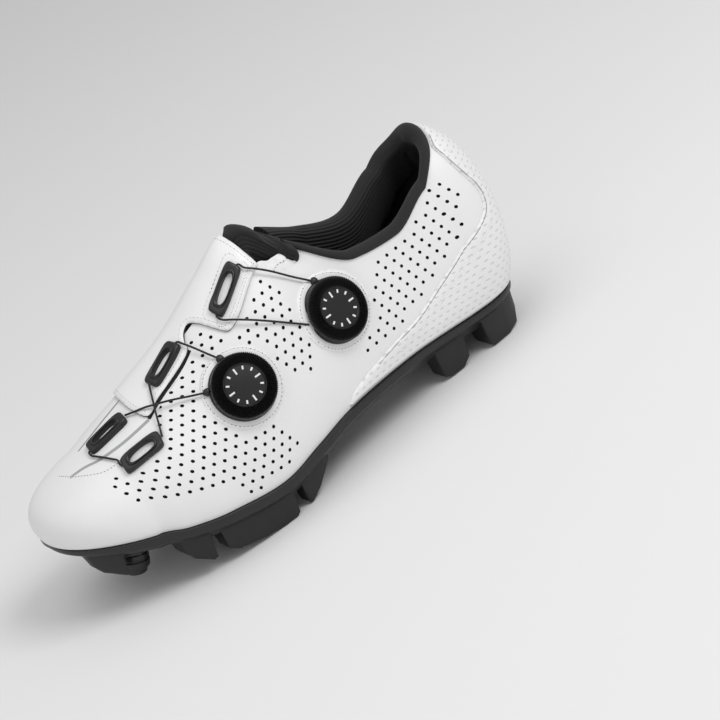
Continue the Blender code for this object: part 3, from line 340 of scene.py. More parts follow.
@dataclass
class Last:
    """Form that the shoe is built on, worked out from a few sizes and a table of sections."""

    length: float = 0.268
    ball_width: float = 0.085
    heel_height: float = 0.110
    instep_height: float = 0.120
    heel_stack: float = 0.022
    toe_lift: float = 0.040
    heel_round: float = 0.029
    toe_round: float = 0.035
    plate_thick: float = 0.010
    collar_end: float = 0.45
    toe_start: float = 0.70
    rows: int = 601
    steps: int = 65
    table: dict[str, np.ndarray] = field(init=False)
    arcs: dict[float, np.ndarray] = field(init=False)

    def __post_init__(self) -> None:
        """Reads the table and measures every rib."""
        self.body = self.length - self.toe_round - self.heel_round
        self.toe_x = self.length - self.toe_round
        self.heel_quarter = 0.5 * math.pi * 0.5 * (self.heel_round + 0.365 * self.ball_width)
        self.toe_quarter = 0.5 * math.pi * self.toe_round * 0.96
        self.table = self._read()
        top = self.column("top_lateral", np.array([1.999, 2.0]))
        self.ridge_fall = float(top[0] - top[1]) / (0.001 * self.body)
        qs, ts = np.linspace(0, 3, self.rows), np.linspace(0, 1, self.steps)
        self.arcs = {}
        for side in (OUTER, INNER):
            points = self.rib(side, qs[:, None], ts[None, :])
            step = np.linalg.norm(np.diff(points, axis=1), axis=-1)
            self.arcs[side] = np.concatenate([np.zeros((self.rows, 1)), np.cumsum(step, axis=1)], axis=1)

    def _read(self) -> dict[str, np.ndarray]:
        """Returns the table's columns in metres, by station."""
        out: dict[str, list[float]] = {}
        for row in SECTIONS:
            far = row.zone is Zone.TOE or (row.zone is Zone.BODY and row.place > self.collar_end)
            toe = row.zone is Zone.TOE or (row.zone is Zone.BODY and row.place > self.toe_start)
            q = row.place if row.zone is Zone.HEEL else 2.0 + row.place
            if row.zone is Zone.BODY:
                q = self.station(row.place * self.length)
            values = {"q": q, "seat": row.seat * (self.toe_lift if toe else self.heel_stack),
                      "plate": row.plate * self.plate_thick, "low": row.low, "spread": row.spread,
                      "drop": row.drop, "reach": row.reach}
            for name in ("lateral", "medial", "ridge", "bulge_lateral", "bulge_medial"):
                values[name] = getattr(row, name) * self.ball_width
            for name in ("top_lateral", "top_medial"):
                values[name] = getattr(row, name) * (self.instep_height if far else self.heel_height)
            for name, value in values.items():
                out.setdefault(name, []).append(value)
        return {name: np.array(values) for name, values in out.items()}

    def station(self, x):
        """Station of a place along the body: 0 to 1 round the heel, 1 to 2 body, 2 to 3 round the toe."""
        return 1.0 + (x - self.heel_round) / self.body

    def station_of_run(self, run: np.ndarray) -> np.ndarray:
        """Station of a distance walked along the outline, equal to x on the body."""
        heel = 1.0 - (self.heel_round - run) / self.heel_quarter
        toe = 2.0 + (run - self.toe_x) / self.toe_quarter
        return np.clip(np.where(run < self.heel_round, heel, np.where(run > self.toe_x, toe, self.station(run))), 0, 3)

    def run_of_station(self, q: np.ndarray) -> np.ndarray:
        """Inverse of station_of_run."""
        heel = self.heel_round - (1.0 - q) * self.heel_quarter
        toe = self.toe_x + (q - 2.0) * self.toe_quarter
        return np.where(q < 1, heel, np.where(q > 2, toe, self.heel_round + (q - 1) * self.body))

    def column(self, name: str, q):
        """Value of one column at a station."""
        return smooth_through(self.table["q"], self.table[name], np.asarray(q, float))

    def by_side(self, name: str, side, q) -> np.ndarray:
        """Value of a pair of columns, by side."""
        return np.where(np.asarray(side) > 0, self.column(name + "lateral", q), self.column(name + "medial", q))

    def seat(self, side, q) -> np.ndarray:
        """Outline where the upper meets the sole."""
        side, q = np.broadcast_arrays(np.asarray(side, float), np.asarray(q, float))
        w = self.by_side("", side, q)
        heel = np.clip(q, 0, 1) * math.pi / 2
        toe = np.clip(q - 2, 0, 1) * math.pi / 2
        hx, hy = np.cos(heel) ** (2 / 2.25), np.sin(heel) ** (2 / 2.25)
        tx, ty = np.sin(toe) ** (2 / 2.2), np.maximum(np.cos(toe), 0.0) ** (2 / 2.2)
        along = np.where(q > 2, self.toe_x + self.toe_round * tx, self.heel_round + (q - 1) * self.body)
        x = np.where(q < 1, self.heel_round * (1 - hx), along)
        drift = self.column("ridge", 2.0) * np.where(side > 0, np.sin(toe), np.sin(toe) ** 2)
        y = np.where(q < 1, side * w * hy, np.where(q > 2, drift + side * w * ty, side * w))
        return np.stack([x, y, self.column("seat", q)], -1)

    def rib(self, side, q, t) -> np.ndarray:
        """Points on ribs from the seat (t = 0) to the rim or ridge (t = 1)."""
        side, q, t = np.broadcast_arrays(np.asarray(side, float), np.asarray(q, float), np.asarray(t, float))
        f = self.seat(side, q)
        end = np.minimum(q, 2.0)
        top = self.by_side("top_", side, end)
        cx = np.where(q < 1, self.heel_round, np.where(q > 2, self.toe_x, f[..., 0]))
        cy = np.where(q < 1, 0.0, self.column("ridge", end))
        flat = np.stack([cx - f[..., 0], cy - f[..., 1], np.zeros_like(cx)], -1)
        run = np.linalg.norm(flat, axis=-1)[..., None]
        out = -flat / run
        up = np.array([0.0, 0.0, 1.0])
        h = (top - f[..., 2])[..., None]
        fall = np.where(q > 2, self.ridge_fall * flat[..., 0] / run[..., 0], 0.0)[..., None]
        p3 = f + flat * self.column("reach", q)[..., None] + up * h
        p1 = f + out * self.by_side("bulge_", side, q)[..., None] + up * h * self.column("low", q)[..., None]
        spread = run * self.column("spread", q)[..., None]
        p2 = p3 + out * spread - up * (self.column("drop", q)[..., None] * h - fall * spread)
        t = t[..., None]
        return (1 - t) ** 3 * f + 3 * (1 - t) ** 2 * t * p1 + 3 * (1 - t) * t * t * p2 + t ** 3 * p3

    def skin(self, side, q, t, lift=0.0) -> tuple[np.ndarray, np.ndarray]:
        """Points raised off the last by lift, and the outward normals there."""
        side, q, t = np.broadcast_arrays(np.asarray(side, float), np.asarray(q, float), np.asarray(t, float))
        tn = np.clip(t, 0.004, 0.992)
        du = self.rib(side, np.clip(q + 0.004, 0, 3), tn) - self.rib(side, np.clip(q - 0.004, 0, 3), tn)
        dv = self.rib(side, q, tn + 0.004) - self.rib(side, q, tn - 0.004)
        n = np.cross(du, dv) * -side[..., None]
        n[..., 1] = np.where((q < 0.001) | (q > 2.999), 0.0, n[..., 1])
        n = n / np.linalg.norm(n, axis=-1, keepdims=True)
        lift = np.broadcast_to(np.asarray(lift, float), t.shape)
        return self.rib(side, q, t) + n * lift[..., None], n

    def share(self, side, q, distance, from_top: bool) -> np.ndarray:
        """Share of the rib at a distance along it, from its top or from the seat."""
        side, q, distance = np.broadcast_arrays(np.asarray(side, float), np.asarray(q, float),
                                                np.asarray(distance, float))
        out = np.zeros(q.shape)
        place = np.clip(q, 0, 3) / 3 * (self.rows - 1)
        low = np.minimum(place.astype(int), self.rows - 2)
        for half in (OUTER, INNER):
            pick = side == half
            if not pick.any():
                continue
            f = (place - low)[pick][:, None]
            arcs = self.arcs[half]
            rows = (1 - f) * arcs[low[pick]] + f * arcs[low[pick] + 1]
            goal = np.clip(rows[:, -1] - distance[pick] if from_top else distance[pick], 0, rows[:, -1])
            k = np.clip((rows < goal[:, None]).sum(axis=1), 1, self.steps - 1)
            each = np.arange(len(k))
            a, b = rows[each, k - 1], rows[each, k]
            out[pick] = (k - 1 + (goal - a) / (b - a)) / (self.steps - 1)
        return out

    def on_ridge(self, x, w, lift=0.0) -> tuple[np.ndarray, np.ndarray]:
        """Chart from the ridge: x along the shoe and w down the side, outer side positive."""
        x, w, lift = np.broadcast_arrays(np.asarray(x, float), np.asarray(w, float), np.asarray(lift, float))
        side = np.where(w >= 0, OUTER, INNER)
        past = np.maximum(0.0, x - self.toe_x)
        q = np.where(past > 0, 2.0 + np.arctan2(past, np.abs(w)) / (math.pi / 2), self.station(x))
        return self.skin(side, q, self.share(side, q, np.hypot(past, w), True), lift)

    def on_side(self, run, h, lift=0.0, side=OUTER) -> tuple[np.ndarray, np.ndarray]:
        """Chart from the seat: run along the outline and h up the side."""
        run, h, lift, side = np.broadcast_arrays(*(np.asarray(v, float) for v in (run, h, lift, side)))
        q = self.station_of_run(run)
        return self.skin(side, q, self.share(side, q, h, False), lift)

    def rim_height(self, s: float) -> float:
        """Length of the rib at s round from the back of the heel."""
        q = min(abs(s) / self.heel_quarter, 1.0)
        return float(np.interp(q, np.linspace(0, 3, self.rows), self.arcs[OUTER][:, -1]))

    def on_seat(self, s, h, lift=0.0) -> tuple[np.ndarray, np.ndarray]:
        """Chart from the seat: s round from the back of the heel, outer side positive, h up the side."""
        s = np.asarray(s, float)
        side = np.where(s >= 0, OUTER, INNER)
        q = np.where(np.abs(s) < self.heel_quarter, np.abs(s) / self.heel_quarter,
                     self.station(self.heel_round + np.abs(s) - self.heel_quarter))
        return self.skin(side, q, self.share(side, q, h, False), lift)


LAST = Last()


# Tools for meshes


def publish(name: str, bm: bmesh.types.BMesh, finishes: Sequence[Finish],
            replaces: Iterable[str] = (), sharp: float = 40.0) -> bpy.types.Object:
    """Turns a mesh in the last's place into a finished piece of the shoe.

    Args:
        name: name of the piece.
        bm: its mesh, which is freed.
        finishes: finishes by material index.
        replaces: frame nodes that the piece stands for.
        sharp: edges above this angle, in degrees, stay sharp.

    Returns:
        The new object.
    """
    bmesh.ops.recalc_face_normals(bm, faces=bm.faces)
    bmesh.ops.translate(bm, verts=bm.verts, vec=BASE)
    mesh = bpy.data.meshes.new(name)
    bm.to_mesh(mesh)
    bm.free()
    mesh.shade_smooth()
    mesh.set_sharp_from_angle(angle=math.radians(sharp))
    piece = bpy.data.objects.new(name, mesh)
    bpy.context.scene.collection.objects.link(piece)
    for finish in finishes:
        mesh.materials.append(finish.material())
    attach(piece, "root")
    nodes = list(replaces)
    if nodes:
        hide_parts(*nodes)
    LOG.info("%s: %d faces", name, len(mesh.polygons))
    return piece


class Grid:
    """Flat grid whose points are then placed by column and row, with or without a second layer."""

    def __init__(self, columns: int, rows: int, lining: int = 0) -> None:
        """Makes the grid with that many cells each way; lining is the second layer's finish."""
        self.lining = lining
        self.bm = bmesh.new()
        bmesh.ops.create_grid(self.bm, x_segments=columns, y_segments=rows, size=0.5)
        self.layer = self.bm.verts.layers.int.new("point")
        for v in self.bm.verts:
            i, j = round((v.co.x + 0.5) * columns), round((v.co.y + 0.5) * rows)
            v[self.layer] = i * (rows + 1) + j

    def place(self, outer: np.ndarray, inner: np.ndarray | None = None) -> bmesh.types.BMesh:
        """Places the points, and gives the grid thickness where a second layer is given.

        Args:
            outer, inner: points of each layer, by column and row.

        Returns:
            The mesh, with what coincides merged.
        """
        second: set[bmesh.types.BMVert] = set()
        if inner is not None:
            made = bmesh.ops.extrude_face_region(self.bm, geom=self.bm.faces[:], use_keep_orig=True)
            second = {v for v in made["geom"] if isinstance(v, bmesh.types.BMVert)}
        first_points = outer.reshape(-1, 3).tolist()
        second_points = first_points if inner is None else inner.reshape(-1, 3).tolist()
        for v in self.bm.verts:
            v.co = (second_points if v in second else first_points)[v[self.layer]]
        for f in self.bm.faces:
            f.material_index = self.lining if second and all(v in second for v in f.verts) else 0
        bmesh.ops.remove_doubles(self.bm, verts=self.bm.verts, dist=1e-6)
        folded = {f for e in self.bm.edges if len(e.link_faces) == 1 for f in e.link_faces}
        if folded and inner is not None:
            bmesh.ops.delete(self.bm, geom=list(folded), context="FACES")
        bmesh.ops.dissolve_degenerate(self.bm, edges=self.bm.edges, dist=1e-6)
        return self.bm


def curve_through(points: Sequence[tuple[float, ...]], step: float, closed: bool = False) -> np.ndarray:
    """Smooth curve through given points.

    Args:
        points: the points, in any number of dimensions.
        step: distance between the points returned.
        closed: whether it returns to its start.

    Returns:
        Points a step apart.
    """
    p = np.array(points, float)
    n = len(p)
    spans = n if closed else n - 1
    ends = (lambda k: p[k % n]) if closed else (lambda k: p[min(max(k, 0), n - 1)])
    out = []
    for i in range(spans):
        a, b, c, d = ends(i - 1), ends(i), ends(i + 1), ends(i + 2)
        count = max(2, int(np.linalg.norm(c - b) / step * 3))
        for s in np.arange(count) / count:
            out.append(0.5 * (2 * b + (c - a) * s + (2 * a - 5 * b + 4 * c - d) * s * s
                              + (3 * b - a - 3 * c + d) * s ** 3))
    out.append(ends(spans))
    line = np.array(out)
    arc = np.concatenate([[0], np.cumsum(np.linalg.norm(np.diff(line, axis=0), axis=1))])
    places = np.linspace(0, arc[-1], max(3, round(arc[-1] / step) + 1))
    if closed:
        places = places[:-1]
    return np.stack([np.interp(places, arc, line[:, k]) for k in range(p.shape[1])], -1)


def distance_to(outline: np.ndarray, points: np.ndarray) -> np.ndarray:
    """Distance from each flat point to a closed outline."""
    a, b = outline, np.roll(outline, -1, axis=0)
    best = np.full(len(points), 1e9)
    for start, stop in zip(a, b):
        d = stop - start
        s = np.clip(((points - start) @ d) / max(d @ d, 1e-18), 0, 1)
        best = np.minimum(best, np.linalg.norm(points - start - s[:, None] * d, axis=1))
    return best


@dataclass
class Overlay:
    """A sheet with rounded edges, cut to an outline and laid on a chart."""

    outline: np.ndarray
    chart: Chart
    thick: float
    base: float = -0.1 * MM
    cell: float = 1.6 * MM
    edge: float = 0.8 * MM
    wall: float = 0.0
    rings: tuple[float, ...] = (0.15 * MM, 0.25 * MM, 0.4 * MM, 0.7 * MM, 0.8 * MM)
    relief: Callable[[np.ndarray, np.ndarray, np.ndarray], np.ndarray] | None = None

    def mesh(self) -> bmesh.types.BMesh:
        """Returns the sheet, with a map named run that holds the chart's places in millimetres."""
        bm = bmesh.new()
        face = bm.faces.new([bm.verts.new((u, v, 0.0)) for u, v in self.outline])
        face.normal_update()
        for width in self.rings:
            bmesh.ops.inset_region(bm, faces=[face], thickness=width, use_even_offset=False)
        low, high = self.outline.min(axis=0), self.outline.max(axis=0)
        for axis in (0, 1):
            count = max(2, round((high[axis] - low[axis]) / self.cell))
            normal = (1, 0, 0) if axis == 0 else (0, 1, 0)
            cuts = set(np.linspace(low[axis], high[axis], count + 1)[1:-1])
            if axis == 1 and low[1] < 0 < high[1]:
                cuts.add(0.0)
            for at in sorted(cuts):
                bmesh.ops.bisect_plane(bm, geom=bm.verts[:] + bm.edges[:] + bm.faces[:], dist=1e-6,
                                       plane_co=[at * n for n in normal], plane_no=normal)
        bmesh.ops.triangulate(bm, faces=[f for f in bm.faces if len(f.verts) > 4])
        uv = bm.loops.layers.uv.new("run")
        for f in bm.faces:
            for loop in f.loops:
                loop[uv].uv = (loop.vert.co.x / MM, loop.vert.co.y / MM)
        made = bmesh.ops.extrude_face_region(bm, geom=bm.faces[:], use_keep_orig=True)
        top = {v for v in made["geom"] if isinstance(v, bmesh.types.BMVert)}
        verts = list(bm.verts)
        flat = np.array([v.co[:2] for v in verts])
        upper = np.array([v in top for v in verts])
        depth = distance_to(self.outline, flat)
        round_edge = np.sqrt(np.clip(1 - (1 - np.clip(depth / self.edge, 0, 1)) ** 2, 0, 1))
        rise = self.wall + (self.thick - self.wall) * round_edge
        if self.relief is not None:
            rise = rise + self.relief(flat[:, 0], flat[:, 1], depth)
        lift = np.where(upper, self.base + np.maximum(rise, 0.02 * MM), self.base - 0.15 * MM)
        points, _ = self.chart(flat[:, 0], flat[:, 1], lift)
        for v, p in zip(verts, points):
            v.co = p
        # Where a wall is given, its side faces take the second finish; on the flap that is the edge paint, darkened as
        # painted shade.
        if self.wall:
            for f in bm.faces:
                f.material_index = 1 if 0 < sum(v in top for v in f.verts) < len(f.verts) else 0
        return bm


class Stitching:
    """Rows of stitches, each with a dark bead of painted shade at its needle hole, gathered into one piece."""

    def __init__(self, name: str) -> None:
        """Starts an empty piece."""
        self.name = name
        self.bm = bmesh.new()
        self.count = 0

    def row(self, points: np.ndarray, normals: np.ndarray, pitch: float = 2.0 * MM, width: float = 0.42 * MM,
            sink: float = 0.05 * MM) -> None:
        """Adds a row along a path.

        Args:
            points, normals: the path and the outward normals on it.
            pitch: length from stitch to stitch.
            width: thread's width.
            sink: how deep the thread's middle lies.
        """
        arc = np.concatenate([[0], np.cumsum(np.linalg.norm(np.diff(points, axis=0), axis=1))])
        count = max(1, int(arc[-1] / pitch))
        for k in range(count):
            at = (k + 0.5) * arc[-1] / count
            here, there = (self._read(points, arc, at + d) for d in (-0.2 * pitch, 0.2 * pitch))
            n = Vector(self._read(normals, arc, at)).normalized()
            along = Vector(there - here).normalized()
            across = n.cross(along).normalized()
            middle = Vector(self._read(points, arc, at)) - n * sink
            self._bead(middle, along * (0.36 * pitch), across * (width / 2), n * (0.5 * width), 0)
            # Painted shade: a dark bead sunk at the needle hole stands for the shade in the hole.
            hole = Vector(self._read(points, arc, at + 0.5 * pitch)) - n * (sink + 0.05 * MM)
            self._bead(hole, along * (0.80 * width), across * (0.80 * width), n * (0.38 * width), 1)
            self.count += 1

    @staticmethod
    def _read(values: np.ndarray, arc: np.ndarray, at: float) -> np.ndarray:
        """Value at a distance along a path."""
        return np.array([np.interp(at, arc, values[:, k]) for k in range(3)])

    def _bead(self, middle: Vector, a: Vector, b: Vector, c: Vector, index: int) -> None:
        """Adds a small bead with the given half axes."""
        turn = Matrix((a, b, c)).transposed().to_4x4()
        made = bmesh.ops.create_icosphere(self.bm, subdivisions=1, radius=1.0,
                                          matrix=Matrix.Translation(middle) @ turn)
        for face in {f for v in made["verts"] for f in v.link_faces}:
            face.material_index = index

    def publish(self) -> bpy.types.Object:
        """Returns the finished piece."""
        LOG.info("%s: %d stitches", self.name, self.count)
        return publish(self.name, self.bm, (WHITE_THREAD, NEEDLE_HOLE_SHADE), sharp=80.0)


def tube(bm: bmesh.types.BMesh, points: np.ndarray, radius: float, sides: int = 10) -> None:
    """Adds a closed round tube along a path.

    Args:
        bm: mesh that takes the tube.
        points: the path.
        radius: the tube's radius.
        sides: corners of its section.
    """
    loops: list[list[bmesh.types.BMEdge]] = []
    frame = None
    for i, p in enumerate(points):
        ahead = Vector(points[min(i + 1, len(points) - 1)] - points[max(i - 1, 0)]).normalized()
        frame = ahead.to_track_quat("Z", "X") if frame is None else frame
        frame = (frame @ Vector((0, 0, 1))).rotation_difference(ahead) @ frame
        matrix = Matrix.Translation(Vector(p)) @ frame.to_matrix().to_4x4()
        made = bmesh.ops.create_circle(bm, segments=sides, radius=radius, matrix=matrix)
        loops.append(list({e for v in made["verts"] for e in v.link_edges}))
    for first, second in zip(loops, loops[1:]):
        bmesh.ops.bridge_loops(bm, edges=first + second)
    for loop in (loops[0], loops[-1]):
        bmesh.ops.contextual_create(bm, geom=loop)


def frame_on(point: np.ndarray, normal: np.ndarray, toe: Vector = Vector((1, 0, 0))) -> Matrix:
    """Frame at a point with Z along the normal and X towards the toe."""
    z = Vector(normal).normalized()
    x = (toe - z * toe.dot(z)).normalized()
    y = z.cross(x)
    matrix = Matrix((x, y, z)).transposed().to_4x4()
    matrix.translation = Vector(point)
    return matrix


def last_tree() -> BVHTree:
    """Search tree over the whole last, without the throat."""
    verts: list[Vector] = []
    faces: list[tuple[int, ...]] = []
    qs, ts = np.linspace(0, 3, 201), np.linspace(0, 1, 49)
    for side in (OUTER, INNER):
        grid = Grid(200, 48)
        bm = grid.place(LAST.rib(side, qs[:, None], ts[None, :]))
        bm.normal_update()
        bm.verts.index_update()
        start = len(verts)
        verts += [v.co.copy() for v in bm.verts]
        for f in bm.faces:
            ring = tuple(start + v.index for v in f.verts)
            out = f.normal.y * side + f.normal.z > 0
            faces.append(ring if out else ring[::-1])
        bm.free()
    return BVHTree.FromPolygons(verts, faces)


# Lines on the upper, in millimetres: x from the heel and distance down from the ridge

FLAP_EDGE = ((124.4, -23.0), (124.6, -8.5), (124.8, 0.0), (123.6, 11.1), (122.2, 22.2), (123.7, 23.7),
             (134.0, 27.2), (145.0, 30.1), (149.6, 30.5), (152.8, 29.3), (156.0, 23.0), (159.4, 13.6),
             (162.0, 9.4), (165.8, 10.4), (168.8, 14.3), (170.6, 18.0), (178.0, 20.0), (196.0, 22.3),
             (201.0, 24.6), (204.8, 23.0), (205.8, 12.7), (204.5, 1.7), (201.8, -9.4), (197.0, -19.6),
             (187.6, -25.5), (160.8, -28.0), (134.0, -25.5))
SLIT = ((169.8, 18.2), (177.9, 20.4), (190.0, 22.0), (196.3, 22.9), (204.4, 25.2))
PRESSED_LINE = ((204.6, 25.4), (213.0, 24.2), (220.8, 22.3), (232.0, 17.6), (240.0, 12.6), (246.6, 9.0))
TOE_STITCH = ((225.0, 27.6), (229.9, 26.7), (237.8, 22.6), (245.0, 12.0), (248.0, 0.5))
QUARTER_EDGE = ((105.0, 1.5), (108.0, 6.5), (111.2, 12.0), (114.6, 17.5), (117.0, 21.6), (119.5, 26.0))
VAMP_SEAM = ((199.3, 8.1), (203.5, 14.0), (206.0, 19.0), (206.8, 23.0))
HEEL_LINE = ((6.3, 85.0), (8.2, 77.0), (9.9, 69.0), (11.6, 59.0), (12.9, 49.8))
COUNTER_EDGE = ((24.5, 84.0), (26.6, 78.0), (27.6, 71.0), (27.2, 64.0), (26.2, 57.0), (26.6, 51.0), (30.5, 44.6), (42.1, 37.4), (63.0, 26.4),
                (85.0, 16.5), (102.1, 12.9), (131.0, 6.6), (138.5, 2.6), (139.4, 0.9))
DIAL_PLACES = {"rear": (103.4, 37.3), "front": (163.5, 50.5)}


def millimetres(points: Sequence[tuple[float, float]]) -> list[tuple[float, float]]:
    """Points given in millimetres, in metres."""
    return [(u * MM, v * MM) for u, v in points]


def on_chart(chart: Chart, line: np.ndarray, lift: float) -> tuple[np.ndarray, np.ndarray]:
    """Points and normals of a flat line laid on a chart."""
    return chart(line[:, 0], line[:, 1], np.full(len(line), lift))


def shifted(line: np.ndarray, by: float) -> np.ndarray:
    """Flat line moved sideways, to its left where by is positive."""
    ahead = np.gradient(line, axis=0)
    ahead /= np.maximum(np.linalg.norm(ahead, axis=1, keepdims=True), 1e-12)
    return line + by * np.stack([-ahead[:, 1], ahead[:, 0]], -1)


def ribbon(line: np.ndarray, width: float) -> np.ndarray:
    """Outline of a band with round ends along an open flat line."""
    left, right = shifted(line, width / 2), shifted(line, -width / 2)
    return np.concatenate([left, right[::-1]])


@dataclass(frozen=True)
class Lattice:
    """Staggered pinholes inside a given region, in millimetres."""

    origin: tuple[float, float]
    first: tuple[float, float]
    second: tuple[float, float]
    region: tuple[tuple[float, float], ...]

    def points(self) -> np.ndarray:
        """Returns the places of the holes in metres."""
        low, high = np.min(self.region, axis=0), np.max(self.region, axis=0)
        kept = []
        for i in range(-60, 61):
            for j in range(-60, 61):
                u = self.origin[0] + i * self.first[0] + j * self.second[0]
                v = self.origin[1] + i * self.first[1] + j * self.second[1]
                if low[0] <= u <= high[0] and low[1] <= v <= high[1] and self._inside(u, v):
                    kept.append((u * MM, v * MM))
        return np.array(kept)

    def _inside(self, u: float, v: float) -> bool:
        """Whether a place lies inside the region."""
        inside = False
        for (a, b), (c, d) in zip(self.region, self.region[1:] + self.region[:1]):
            if (b > v) != (d > v) and u < (c - a) * (v - b) / (d - b) + a:
                inside = not inside
        return inside


MID_HOLES = Lattice((160.0, 20.0), (-5.1, -0.6), (3.0, -4.3),
                    ((132, 88), (120, 70), (120, 40), (127, 28), (137, 33), (146, 50), (160, 28), (153, 9),
                     (164, 5), (186, 3), (196, 13), (231, 15), (241, 27), (240, 32), (224, 40), (207, 46),
                     (204, 64), (186, 82), (168, 92)))
REAR_HOLES = Lattice((70.3, 74.3), (-6.0, 0.1), (4.1, -4.3), ((72, 77), (101, 42), (92, 36), (60, 47), (24, 63), (14, 86),
                                                              (24, 92), (36, 82), (50, 77)))


@dataclass
class Upper:
    """Hollow white shell, open at the collar, the throat and the seat, with its pinholes."""

    wall: float = 2.2 * MM
    throat_width: float = 22.0 * MM
    throat: tuple[tuple[float, float, float], ...] = (
        (0.390, 0.00, 0.00), (0.410, 0.50, 0.10), (0.435, 0.93, 0.25), (0.455, 1.00, 0.35), (0.504, 0.82, 0.36),
        (0.578, 0.55, 0.34), (0.672, 0.36, 0.28), (0.728, 0.12, 0.10), (0.746, 0.00, 0.00))
    heel_cells: int = 36
    body_cells: int = 150
    toe_cells: int = 40
    levels: int = 76
    hole_radius: float = 0.92 * MM
    hole_depth: float = 1.1 * MM

    def cut(self, x: np.ndarray, side: np.ndarray) -> np.ndarray:
        """Distance from the ridge to the edge of the throat, at x."""
        table = np.array(self.throat)
        widths = [np.interp(x, table[:, 0] * LAST.length, table[:, k] * self.throat_width) for k in (1, 2)]
        return np.where(side > 0, widths[0], widths[1])

    def build(self) -> bpy.types.Object:
        """Returns the upper with its holes."""
        qs = np.concatenate([np.linspace(0, 1, self.heel_cells + 1), np.linspace(1, 2, self.body_cells + 1)[1:],
                             np.linspace(2, 3, self.toe_cells + 1)[1:]])
        side = np.repeat([OUTER, INNER], len(qs))[:, None]
        q = np.concatenate([qs, qs[::-1]])[:, None]
        x = LAST.heel_round + (q - 1) * LAST.body
        gap = np.where((q > 1) & (q < 2), self.cut(x, side), 0.0)
        end = np.where(gap > 0, LAST.share(side, q, gap, True), 1.0)
        t = end * np.linspace(0, 1, self.levels + 1)[None, :]
        q = np.broadcast_to(q, t.shape).copy()
        side = np.broadcast_to(side, t.shape)
        centres = self._place_holes(qs, side, q, t)
        outer, _ = LAST.skin(side, q, t, 0.0)
        inner, _ = LAST.skin(side, q, t, -self.wall)
        inner[:, 0, 2] = LAST.column("seat", q[:, 0])
        grid = Grid(t.shape[0] - 1, self.levels, 1)
        bm = grid.place(outer, inner)
        self._pierce(bm, grid.layer, centres)
        return publish("white_upper_shell", bm, (WHITE_UPPER, DARK_LINING_AND_SHADE), ("upper",), 50.0)

    def _holes(self) -> list[tuple[float, float, float]]:
        """Returns side, run and height of each pinhole, clear of what lies on the upper."""
        found = []
        rear = REAR_HOLES.points()
        ts = np.linspace(0, 1, 80)
        for side in (OUTER, INNER):
            for run, h in MID_HOLES.points():
                found.append((side, run, h))
            for x, z in rear:
                q = LAST.station_of_run(np.array([x]))
                line = LAST.rib(side, q, ts)
                t = np.interp(z, line[:, 2], ts)
                arc = np.linalg.norm(np.diff(LAST.rib(side, q, np.linspace(0, t, 40)), axis=0), axis=1).sum()
                found.append((side, x, arc))
        blocks = self._keep_out()
        kept = []
        for side, run, h in found:
            p = LAST.on_side(run, h, 0.0, side)[0]
            if all(np.linalg.norm(points - p, axis=1).min() > clear for points, clear in blocks):
                kept.append((side, run, h))
        return kept

    def _keep_out(self) -> list[tuple[np.ndarray, float]]:
        """Returns places on the upper with the distance that holes keep from them."""
        out = []
        for line, clear in ((curve_through(millimetres(FLAP_EDGE), 2 * MM, True), 2.3 * MM),
                            (curve_through(millimetres(SLIT), 2 * MM), 2.3 * MM),
                            (curve_through(millimetres(PRESSED_LINE), 2 * MM), 3.0 * MM)):
            out.append((on_chart(LAST.on_ridge, line, 0.0)[0], clear))
        for x, w in DIAL_PLACES.values():
            out.append((LAST.on_ridge(np.array([x * MM]), w * MM)[0], 20.8 * MM))
        for guide in GUIDES:
            if not guide.on_flap:
                out.append((np.concatenate([guide.ring(guide.length / 2, guide.width / 2, 6.0, 0.0)]), 3.2 * MM))
        edge = curve_through(millimetres(COUNTER_EDGE), 2 * MM)
        for sign in (1, -1):
            out.append((LAST.on_seat(sign * edge[:, 0], edge[:, 1])[0], 4.0 * MM))
        return out

    def _place_holes(self, qs: np.ndarray, side: np.ndarray, q: np.ndarray, t: np.ndarray) -> list[int]:
        """Moves the grid's points on to the rims of the holes; returns the holes' middle points."""
        centres = []
        taken: set[tuple[int, int]] = set()
        columns = 2 * len(qs)
        for sign, run, h in self._holes():
            middle = float(LAST.station_of_run(np.array(run)))
            share = float(LAST.share(sign, middle, h, False))
            k = int(np.abs(qs - middle).argmin())
            i = k if sign > 0 else columns - 1 - k
            j = int(np.abs(t[i] - share).argmin())
            block = {(i + di, j + dj) for di in (-1, 0, 1) for dj in (-1, 0, 1)}
            if not (2 < i < columns - 3 and 2 < j < self.levels - 3) or block & taken:
                continue
            taken |= block
            for di in (-1, 0, 1):
                for dj in (-1, 0, 1):
                    a = math.atan2(dj, di * sign)
                    r = self.hole_radius if di or dj else 0.0
                    place = LAST.station_of_run(np.array(run + r * math.cos(a)))
                    q[i + di, j + dj] = place
                    t[i + di, j + dj] = LAST.share(sign, place, h + r * math.sin(a), False)
            centres.append(i * (self.levels + 1) + j)
        return centres

    def _pierce(self, bm: bmesh.types.BMesh, layer: bmesh.types.BMLayerItem, centres: Iterable[int]) -> None:
        """Sinks the holes whose middle points are given, and gives their walls and floors the dark finish: the floors
        stand for the lining seen through, the walls are painted shade.
        """
        wanted = set(centres)
        middles = [v for v in bm.verts if v[layer] in wanted]
        made = [bmesh.ops.dissolve_verts(bm, verts=[v]) for v in middles]
        LOG.info("pinholes: %d", len(made))
        rims = [f for f in bm.faces if len(f.verts) == 8]
        bm.normal_update()
        # Painted shade: the sunk holes' walls and floors take the dark finish; the floors stand for the lining seen
        # through, the walls for shade.
        for f in bmesh.ops.extrude_discrete_faces(bm, faces=rims)["faces"]:
            middle = f.calc_center_median()
            way = self._outward(f, middle)
            for v in f.verts:
                v.co -= way * self.hole_depth
                for near in v.link_faces:
                    near.material_index = 1

